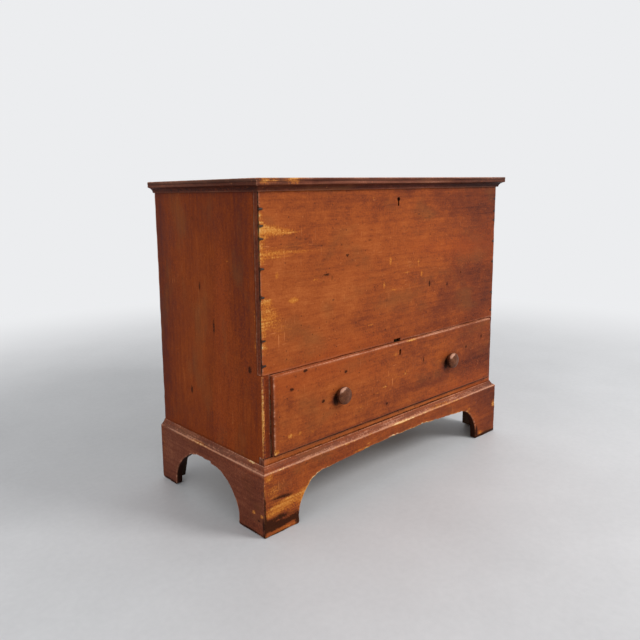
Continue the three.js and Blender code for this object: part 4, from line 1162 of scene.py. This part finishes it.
# %% Sections of a base board
LOW_ROUND, MOST_LOW_ROUND = 1.7 * MM, 3.8 * MM
LOW_DEPTH = 5 * MM
SAW_WANDER, NOTCH = 0.45 * MM, 1.6 * MM
TOP_WEAR = 0.35 * MM
CREST, UPPER_LIP = 163.2 * MM, 178.6 * MM
BAND_FOOT, BAND_TOP, BAND_FADE = np.array([163, 179.5, 50]) * MM
FACE_SHARES = np.linspace(0, 1, 33)[1:-1]
TOP_PROFILE = [
    (15, 161.4, 0), (15, 163.5, 1.6), (13.2, 164.6, 0.4), *hollow((13.2, 164.6), (2.2, 177.5), 1.4),
    (2.2, 177.5, 0.3), (2.2, 179, 0.5), (0.3, 179, 0.2), (0.3, 149.7, 0.2), (-5, 149.7, 0),
]


def lower_rows(outline, square, radius):
    """Rows under the board and round its lower arris, as along, out and up. They are measured square to the
    outline, and the arris is a quarter circle of the radius."""
    turn = np.linspace(0, math.pi / 2, 6)
    ones = np.ones((len(outline), 1))
    radius = radius[:, None]
    under = ones * np.linspace(BASE_IN + MM, BASE_OUT - 5 * MM, 5)
    out = [ones * BASE_IN, under, BASE_OUT - radius * (1 - np.sin(turn)), ones * BASE_OUT, ones * BASE_OUT]
    deep = [ones * MM, under * 0, radius * (1 - np.cos(turn))]
    deep += [np.minimum(radius * 1.5, 4.3 * MM), ones * LOW_DEPTH]
    out, deep = np.concatenate(out, axis=1), np.concatenate(deep, axis=1)
    along, up = [outline[:, k : k + 1] + square[:, k : k + 1] * deep for k in (0, 1)]
    arris = rise(np.abs(deep - radius * 0.5), LOW_DEPTH, 0) * (out > 8 * MM)
    return np.stack([along, out, up], axis=-1), arris


def upper_rows(top, seed, chips):
    """Rows of the planed moulding and its back, worn at the crest and at the upper lip."""
    out, up = rounded(TOP_PROFILE).T
    arris = bell(up, CREST, 2.2 * MM) * (out > 12 * MM)
    arris = arris + 0.6 * bell(up, UPPER_LIP, 1.2 * MM) * (out > 1.6 * MM)
    wear = TOP_WEAR * np.clip(ups_and_downs(top, seed), 0, 3) + chipped(top[:, None], chips)
    back = wear[:, None] * arris
    rows = np.stack([np.broadcast_to(top[:, None], back.shape), out - back, up - 0.7 * back], axis=-1)
    band = (0.6 - (up - BAND_FOOT) / BAND_FADE) * (up > BAND_FOOT) * (up < BAND_TOP) * (out > 2 * MM)
    return rows, np.broadcast_to(np.clip(arris + band, 0, 1), back.shape)


def base_rings(outline, seed, low_chips, top_chips):
    """Sections of a base board as along, out and up: the lower rows, rows at fixed shares of the way up the
    face, the moulding's rows, and rows down the inside."""
    tangent = np.gradient(outline, axis=0)
    tangent = tangent / np.linalg.norm(tangent, axis=1, keepdims=True)
    square = np.stack([tangent[:, 1], -tangent[:, 0]], axis=1)
    length = np.concatenate([[0], np.cumsum(np.linalg.norm(np.diff(outline, axis=0), axis=1))])
    even = outline[0, 0] + (outline[-1, 0] - outline[0, 0]) * length / length[-1]
    sawn = rise(outline[:, 1:], SIDE_UPRIGHT, 2 * SIDE_UPRIGHT)
    notched = np.clip(ups_and_downs(length / 1.2, seed + 9) - 0.8, 0, 1.5)
    uneven = SAW_WANDER * ups_and_downs(length / 2, seed + 7) + NOTCH * notched
    outline = outline + square * sawn * uneven[:, None]
    radius = LOW_ROUND * np.clip(1 + 0.8 * ups_and_downs(length / 1.5, seed), 0.4, 3)
    radius = np.minimum(radius + chipped(outline, low_chips), MOST_LOW_ROUND)
    low, low_arris = lower_rows(outline, square, radius)
    high, high_arris = upper_rows(0.6 * outline[:, 0] + 0.4 * even, seed + 2, top_chips)
    face = low[:, -1:] + (high[:, :1] - low[:, -1:]) * FACE_SHARES[:, None]
    foot = np.insert(outline + square * LOW_DEPTH, 1, BASE_IN, axis=1)[:, None]
    inner = high[:, -1:] + (foot - high[:, -1:]) * np.linspace(0, 1, 8)[1:, None]
    plain, inside = [np.zeros(part.shape[:2]) for part in (face, inner)]
    arris = [low_arris * (0.6 + 0.7 * notched)[:, None], plain, high_arris, inside]
    return np.concatenate([low, face, high, inner], axis=1), np.concatenate(arris, axis=1)


# %% [markdown]
# ## Wear on the base
#
# Brooms and boots have had the most from the base. The front left foot is rubbed to bright ochre with black
# between, and a pale line of wear runs along the lower arris and along both edges of the moulding.

# %% Marks on the base
CORNER_ROUND = 1.8 * MM
CORNER_CHIPS = [
    (-520, -231, 150, 9, 1.5), (-520, -231, 60, 14, 1.8), (-520, -231, 6, 10, 3.0),
    (-520, -231, 98, 8, 1.2), (520, -231, 102, 9, 2.0), (520, -231, 20, 10, 1.5),
]
FRONT_LOW_CHIPS = [
    (-190, 129, 12, 1.5), (-165, 131, 9, 1.2), (174, 127, 6, 2.5), (-399, 50, 12, 1.5),
    (-360, 102, 14, 1.2), (-500, 0, 16, 2.0), (-440, 0, 10, 1.5), (430, 0, 12, 1.5), (310, 117, 14, 1.0),
]
FRONT_TOP_CHIPS = [(16, 22, 1.1), (200, 34, 0.6), (-224, 6, 0.8), (-380, 10, 0.6), (420, 12, 0.6)]
SIDE_LOW_CHIPS = [(-120, 60, 12, 1.0), (60, 127, 14, 0.8), (-200, 0, 14, 1.6)]
SIDE_TOP_CHIPS = [(-170, 10, 0.8), (40, 16, 0.6)]
FRONT_BASE_MARKS = {
    "rub": [
        (16, 162, 34, 3, 0.8), (200, 167, 46, 4, 0.5), (-500, 60, 22, 9, 0.65), (-468, 68, 34, 9, 0.7),
        (-435, 77, 26, 9, 0.7), (-480, 50, 46, 26, 0.34), (-382, 74, 20, 16, 0.8), (-396, 48, 12, 22, 0.7),
        (-365, 98, 14, 10, 0.55), (-462, 7, 40, 6, 0.4), (-430, 60, 30, 26, 0.38),
        (-490, 112, 30, 26, 0.42), (-504, 152, 12, 8, 0.85), (434, 17, 14, 8, 0.8), (362, 115, 12, 6, 0.8),
        (511, 102, 10, 14, 0.8), (470, 8, 40, 5, 0.4), (-175, 130, 34, 4, 0.75), (-138, 139, 10, 3, 0.5),
        (-224, 160, 9, 3, 0.6), (100, 131, 60, 3, 0.35), (250, 122, 60, 3, 0.4), (-320, 117, 30, 6, 0.4),
    ],
    "dirt": [
        (-471, 94, 42, 5, 0.7), (-506, 30, 18, 15, 1.0), (-470, 50, 44, 30, 0.3), (-464, 42, 26, 7, 0.55),
        (-424, 30, 18, 12, 0.5), (-471, 1, 60, 4, 0.8), (-480, 22, 32, 11, 0.75), (-440, 88, 24, 4, 0.5),
        (-410, 14, 10, 24, 0.8), (-446, 22, 30, 9, 0.5), (-519, 60, 5, 60, 1.0), (519, 90, 4, 90, 0.7),
        (465, 2, 60, 5, 1.1), (411, 24, 8, 26, 1.0), (470, 10, 50, 16, 0.4), (174, 128, 6, 4, 0.6),
        (440, 4, 60, 4, 0.7), (0, 180, 900, 1.5, 0.4),
    ],
    "tone": [
        (-470, 120, 40, 40, 0.15), (0, 171, 900, 5, -0.6), (0, 140, 700, 40, -0.5),
        (520, 90, 120, 120, -1.2), (-470, 70, 60, 90, -0.5),
    ],
}
SIDE_BASE_MARKS = {
    "rub": [
        (-190, 56, 6, 4, 0.8), (-221, 55, 6, 4, 0.7), (-170, 177, 12, 3, 0.8), (40, 164, 34, 3, 0.5),
        (200, 120, 24, 18, 0.2), (232, 100, 5, 50, 0.35), (-120, 40, 6, 30, 0.3),
    ],
    "dirt": [
        (-209, 40, 8, 5, 0.7), (-180, 3, 70, 6, 0.9), (200, 3, 60, 7, 0.9), (-227, 30, 6, 30, 0.7),
        (0, 180, 900, 1.5, 0.4), (120, 90, 5, 4, 0.4),
    ],
    "tone": [
        (205, 90, 34, 60, 0.3), (-190, 90, 40, 60, -0.25), (0, 171, 900, 5, -0.6),
        (40, 150, 120, 14, -0.25), (0, 110, 900, 60, 0.15),
    ],
}
print("marks on the front of the base:", sum(map(len, FRONT_BASE_MARKS.values())))

# %% Build the base boards
REAR_FOOT_ROUND = 11 * MM
CREST_LINE = 162.6 * MM
ARCH_TOP, LOW_EDGE_TOP = 140 * MM, 150 * MM
RIGHT_FOOT = 380 * MM


def field_of(piece, key):
    """Reads the numbers that a piece carries on its vertices under a name."""
    values = np.empty(len(piece.data.vertices), np.float32)
    piece.data.attributes[key].data.foreach_get("value", values)
    return values


def base_board(node, rings, arris, place, lean, material, axes, marks):
    """Shears the sections to the mitres, rounds the upright corners and writes the fields. The marks are on
    the outer face, and the inside is raw. The sawn edges under the arches get painted shade, darkest near the
    floor."""
    run, out, up = np.moveaxis(rings, -1, 0)
    points = np.stack(place(run + lean(run) * (out - BASE_OUT), out, up), axis=-1)
    radius = CORNER_ROUND * (1 + 0.5 * wander(points, 66, 0.035)) + chipped(points, CORNER_CHIPS)
    for side in (-1, 1):
        corner = (-side * base_left, base_front)
        away = np.abs(points[..., :2] - corner).max(axis=-1)
        arris = np.maximum(arris, 0.4 * rise(away, 6 * MM, 0))
        soften(points, corner, (side, -1), (0, 1), radius)
    if node == "left_base_board":
        rear_end = points[..., 1].max()
        soften(points, (rear_end, 0.0), (1, -1), (1, 2), np.full(radius.shape, REAR_FOOT_ROUND))
    board = sleeve(f"worn_{node}", points, arris)
    here = places_of(board)
    outward = np.maximum(front_face - here[:, 1], np.abs(here[:, 0]) - front_high[0])
    facing = (outward > -MM).astype(float)
    # Painted shade on the sawn edges under the arches, darkest near the floor.
    under = rise(outward, BASE_OUT - 2 * MM, BASE_OUT - 6 * MM) * (here[:, 2] < ARCH_TOP)
    exposed = 0.25 if axes[0] == 1 else 1 - 0.7 * (here[:, 0] > RIGHT_FOOT)
    crest = 0.45 * bell(here[:, 2], CREST_LINE, 2.2 * MM)
    edges = field_of(board, "arris") * (here[:, 2] < LOW_EDGE_TOP) + crest
    added = {
        "dirt": under * (0.8 + 0.8 * rise(here[:, 2], 120 * MM, 0)),
        "tone": -under,
        "rub": edges * facing * (0.55 + 0.3 * wander(here, 67, 0.02)) * exposed,
    }
    write_marks(board, here, axes, facing, marks, added)
    set_field(board, "stain", np.maximum(facing, under))
    attach(board, [node], "case", material)


def front_lean(run):
    """From 0, at a distance from the ends, to 1 at the right end and -1 at the left one."""
    return np.sign(run) * rise(-base_left - np.abs(run), MITRE_REACH, 0)


def side_lean(run):
    """From 0, at a distance from the front end, to -1 at it."""
    return -rise(run - base_front, MITRE_REACH, 0)


base_board(
    "front_base_board", *base_rings(front_outline(), 61, FRONT_LOW_CHIPS, FRONT_TOP_CHIPS),
    lambda run, out, up: (run, front_face - out, up), front_lean, base_pine, (0, 2), FRONT_BASE_MARKS,
)
for side, node in ((-1, "left_base_board"), (1, "right_base_board")):
    outline = side_outline(*[corner[1] for corner in corners_of(node)])
    base_board(
        node, *base_rings(outline, 63 + side, SIDE_LOW_CHIPS, SIDE_TOP_CHIPS),
        lambda run, out, up: (side * (out + front_high[0]), run, up), side_lean, side_base_pine,
        (1, 2), SIDE_BASE_MARKS,
    )

# %% [markdown]
# ## The knobs
#
# A knob is turned on a lathe, so its surface is a profile turned about one axis. Here each point of the
# profile is a station, and the ring at that station is a circle. Years of wear have made the rim a little
# uneven.

# %% Turn the knobs
KNOB_PROFILE = [
    (0.01, -23.7), (6, -23.7), (6, 0.3), (12.2, 0.3), (12.6, 0.7), (12.6, 1.6), (11.6, 2.3), (10.8, 3.2),
    (12.4, 3.8), (16.4, 4.1), (20.2, 4.7), (22.6, 6.0), (23.7, 8.2), (23.9, 11.4), (23.9, 14.6),
    (23.2, 17.2), (21.8, 19.2), (19.2, 20.8), (15.4, 22.3), (10.8, 23.6), (6.0, 24.5), (2.6, 24.95),
    (0.01, 25),
]
RING_STEPS = 56
RUBBED_AND_LIT_TOWARDS = math.radians(112)


def turned(name, middle, seed):
    """Radius times cosine and sine of the angle about the knob's axis, with the radius worn by a hundredth.
    The rim is pale at its upper left, partly wear and partly a painted highlight, and has painted shade at its
    lower left."""
    profile = np.array(KNOB_PROFILE) * MM
    angle = np.linspace(0, FULL_TURN, RING_STEPS, endpoint=False)
    radius, out = profile[:, :1], profile[:, 1:]
    even = np.stack(np.broadcast_arrays(radius * np.cos(angle), -out, radius * np.sin(angle)), axis=-1)
    worn = 1 - 0.012 * np.clip(1 + wander(even, seed, 0.03), 0, 2) * (radius > 7 * MM)
    place = np.array([middle, drawer_low[1], KNOB_HEIGHT])
    rings = even * np.stack([worn, np.ones_like(worn), worn], axis=-1) + place
    # The upper left of the rim is worn, and is also made pale there as a painted highlight.
    held_and_lit = np.clip(1.8 * np.cos(angle - RUBBED_AND_LIT_TOWARDS) - 0.8, 0, 1)
    knob = sleeve(name, rings, bell(out, 17 * MM, 4.5 * MM) * (radius > 18 * MM) * held_and_lit)
    x, y, z = ((places_of(knob) - place) / MM).T
    # Painted shade on the knob's lower left, next to its painted shadow on the drawer.
    lower_left = rise(x + z, 0, -30) * rise(-y, 19, 13)
    set_field(knob, "dirt", np.clip(0.8 * rise(np.abs(y + 2), 6, 0) + lower_left, 0, 1))
    return knob


for seed, (node, middle) in enumerate(KNOB_PLACES.items()):
    attach(turned(f"worn_{node}", middle, 71 + seed), [node], "drawer", knob_wood)

# %% [markdown]
# ## Nails
#
# The front board and the back boards are held by cut nails. Their heads are small, oblong and uneven, and
# sit just below the wood or stand proud of it by a hair. Each head is a dome over an ellipse, and one piece
# holds all the nails that share a board.

# %% Drive the nails
NAIL_RINGS, NAIL_STEPS = 5, 14
NAIL_SHANK = 1.2 * MM
FRONT_COLUMN, BACK_COLUMN, FLOOR_NAIL_HEIGHT = 498, 488, 416
BACK_NAIL_ROWS = (175, 250, 340, 430, 495, 530, 610, 700, 790, 838)
FLOOR_NAIL_ROW = (-380, -250, -120, 0, 130, 255, 385)
FRONT_HEAD = np.array([6.0, 2.1, 0.5]) * MM
BACK_HEAD = np.array([3.4, 3.0, 0.9]) * MM


def nail_heads(name, places, level, facing, seed, head):
    """Domes at the given places (x, z) on a board's face, which lies at a level in Y and looks to -Y or +Y.
    The head's length, width and height are given. A point at share s of the radius lies at the height
    times the root of 1 - s^2, and the outline wanders by a seventh."""
    length, width, proud = head
    dice = np.random.default_rng(seed)
    share = np.linspace(1, 0.0, NAIL_RINGS)[:, None]
    angle = np.linspace(0, FULL_TURN, NAIL_STEPS, endpoint=False)
    faces = grid_faces(NAIL_RINGS + 1, NAIL_STEPS, wrap=True) + [list(range(NAIL_STEPS))]
    heads = []
    for place in places:
        uneven = 1 + 0.14 * dice.normal(size=NAIL_STEPS)
        tilt = dice.normal(0, 0.25)
        u = share * uneven * length * np.cos(angle)
        v = share * uneven * width * np.sin(angle)
        up = proud * np.sqrt(1 - share**2) + 0.12 * MM * np.cos(angle + tilt) * share
        x, z = u * math.cos(tilt) - v * math.sin(tilt), u * math.sin(tilt) + v * math.cos(tilt)
        dome = np.stack([x, facing * up, z], axis=-1)
        shank = dome[:1] * [1, 0, 1] - [0, facing * NAIL_SHANK, 0]
        middle = [place[0] * MM, level, place[1] * MM]
        heads.append(((np.concatenate([shank, dome]) + middle).reshape(-1, 3), faces))
    nails = piece_from(name, *joined(heads))
    attach(nails, [], "case", nail_iron)


front_places = [(side * FRONT_COLUMN, z) for side in (-1, 1) for z in NAIL_ROWS]
nail_heads("front_board_nails", front_places, front_face + 0.2 * MM, -1, 81, FRONT_HEAD)
back_places = [(side * BACK_COLUMN, z) for side in (-1, 1) for z in BACK_NAIL_ROWS]
back_places += [(x, FLOOR_NAIL_HEIGHT) for x in FLOOR_NAIL_ROW]
nail_heads("back_board_nails", back_places, corners_of("upper_back_board")[1][1], 1, 82, BACK_HEAD)

# %% [markdown]
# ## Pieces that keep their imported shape
#
# The drawer's sides and back, the floors, the back boards, the blocks and the ironwork are seen only when
# something is open or from behind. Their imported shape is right, so they keep it. A Weld modifier joins their
# loose triangles and a narrow Bevel softens their edges, and each gets raw pine, iron or brass.

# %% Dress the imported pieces
RAW_EDGE, METAL_EDGE = 0.7 * MM, 0.2 * MM
BRASS = ("lid_link_plate", "chest_lock_bolt", "drawer_lock_bolt")
BLOCKS = ("front_foot_block", "rear_foot_block", "apron_block")
raw = dict.fromkeys(["chest_floor", "drawer_back", "drawer_bottom"], raw_pine_x)
raw.update(dict.fromkeys(["lower_back_board", "upper_back_board"], back_pine))
for side in ("left", "right"):
    raw.update(dict.fromkeys([f"{side}_drawer_runner", f"drawer_{side}_side"], raw_pine_y))
    raw.update(dict.fromkeys([f"{side}_{name}" for name in BLOCKS], block_pine))


def soften_edges(piece, width):
    """Welds the loose triangles and rounds every edge that turns by more than 40 degrees."""
    weld = piece.modifiers.new("weld", "WELD")
    weld.merge_threshold = 0.01 * MM
    bevel = piece.modifiers.new("soft edges", "BEVEL")
    bevel.width, bevel.segments = width, 2
    bevel.limit_method, bevel.angle_limit = "ANGLE", math.radians(40)


for node, piece in nodes.items():
    material = raw.get(node) or covered.get(node) or (brass if node in BRASS else iron)
    piece.data.materials.clear()
    piece.data.materials.append(material)
    if node not in covered:
        soften_edges(piece, RAW_EDGE if node in raw else METAL_EDGE)
print("packed pieces dressed:", len(nodes))

# %% [markdown]
# ## Floor and light
#
# The floor is plain and pale grey. Far from the chest it fades into the near white of the background, so
# that no edge shows. One large soft lamp stands to the right of the camera and above it, a weak one fills
# the left side, and the world adds an even light. Only the camera and reflections see the world as near
# white.

# %% Lay the floor
FLOOR_REACH = 40.0
FLOOR_DROP = 0.5 * MM
FADE_FROM, FADE_TO = 1.2, 3.2
BACKGROUND = colour(236, 237, 239)


def seen_directly(finish):
    """1 for rays from the camera and for reflected and transmitted ones, and 0 for rays that carry light."""
    kinds = ("Camera", "Glossy", "Transmission")
    seen, mirrored, through = [finish.node("LightPath", {}, {}, f"Is {kind} Ray") for kind in kinds]
    return finish.math("MAXIMUM", finish.math("MAXIMUM", seen, mirrored), through)


floor_mesh = bpy.data.meshes.new("floor")
corners = [(x * FLOOR_REACH, y * FLOOR_REACH, -FLOOR_DROP) for x, y in ((-1, -1), (1, -1), (1, 1), (-1, 1))]
floor_mesh.from_pydata(corners, [], [(0, 1, 2, 3)])
floor_piece = add_to_scene("floor", floor_mesh)
floor_finish = Finish(bpy.data.materials.new("pale_floor"))
place = floor_finish.coordinates()
clouds = floor_finish.noise(place, scale=2.2, detail=5, roughness=0.6)
grain = floor_finish.noise(place, scale=60, detail=4)
greys = [(0.3, 200, 200, 201), (0.7, 214, 214, 215)]
near_colour = floor_finish.ramp(clouds * 0.7 + grain * 0.3 + 0.5, *greys)
near_floor = floor_finish.wood_or_metal(grain, 0.1, Base_Color=near_colour, Roughness=0.5)
far_floor = floor_finish.node("Emission", {}, {"Color": BACKGROUND}, "Emission")
distance = floor_finish.node("VectorMath", {"operation": "LENGTH"}, {0: place}, "Value")
far = floor_finish.step(distance, FADE_FROM, FADE_TO) * seen_directly(floor_finish)
floor_shader = floor_finish.node("MixShader", {}, {0: far, 1: near_floor, 2: far_floor}, "Shader")
floor_mesh.materials.append(floor_finish.end(floor_shader))
print("the floor fades between", FADE_FROM, "and", FADE_TO, "m from the middle")

# %% Set up the lamps
AIM = Vector((0, 0, 0.4))
WORLD_TINT = (0.96, 0.98, 1.0, 1)
WORLD_STRENGTH = 0.62


def soft_lamp(name, place, width, power):
    """A square lamp, so many metres wide and turned towards the aim. Power is in watts."""
    data = bpy.data.lights.new(name, "AREA")
    data.shape = "SQUARE"
    data.size, data.energy = width, power
    lamp = add_to_scene(name, data)
    lamp.location = place
    lamp.rotation_euler = (AIM - Vector(place)).to_track_quat("-Z", "Y").to_euler()


soft_lamp("key", (1.3, -2.6, 2.5), width=1.2, power=75)
soft_lamp("fill", (-3.2, -0.8, 1.7), width=2.2, power=14)
studio = Finish(bpy.data.worlds.new("studio"))
bpy.context.scene.world = studio.owner
lit = studio.node("Background", {}, {"Color": WORLD_TINT, "Strength": WORLD_STRENGTH}, "Background")
seen = studio.node("Background", {}, {"Color": BACKGROUND}, "Background")
sky = studio.node("MixShader", {}, {0: seen_directly(studio), 1: lit, 2: seen}, "Shader")
studio.end(sky, "OutputWorld")
bpy.context.scene.view_settings.view_transform = "Standard"
print("lamps:", len(bpy.data.lights))
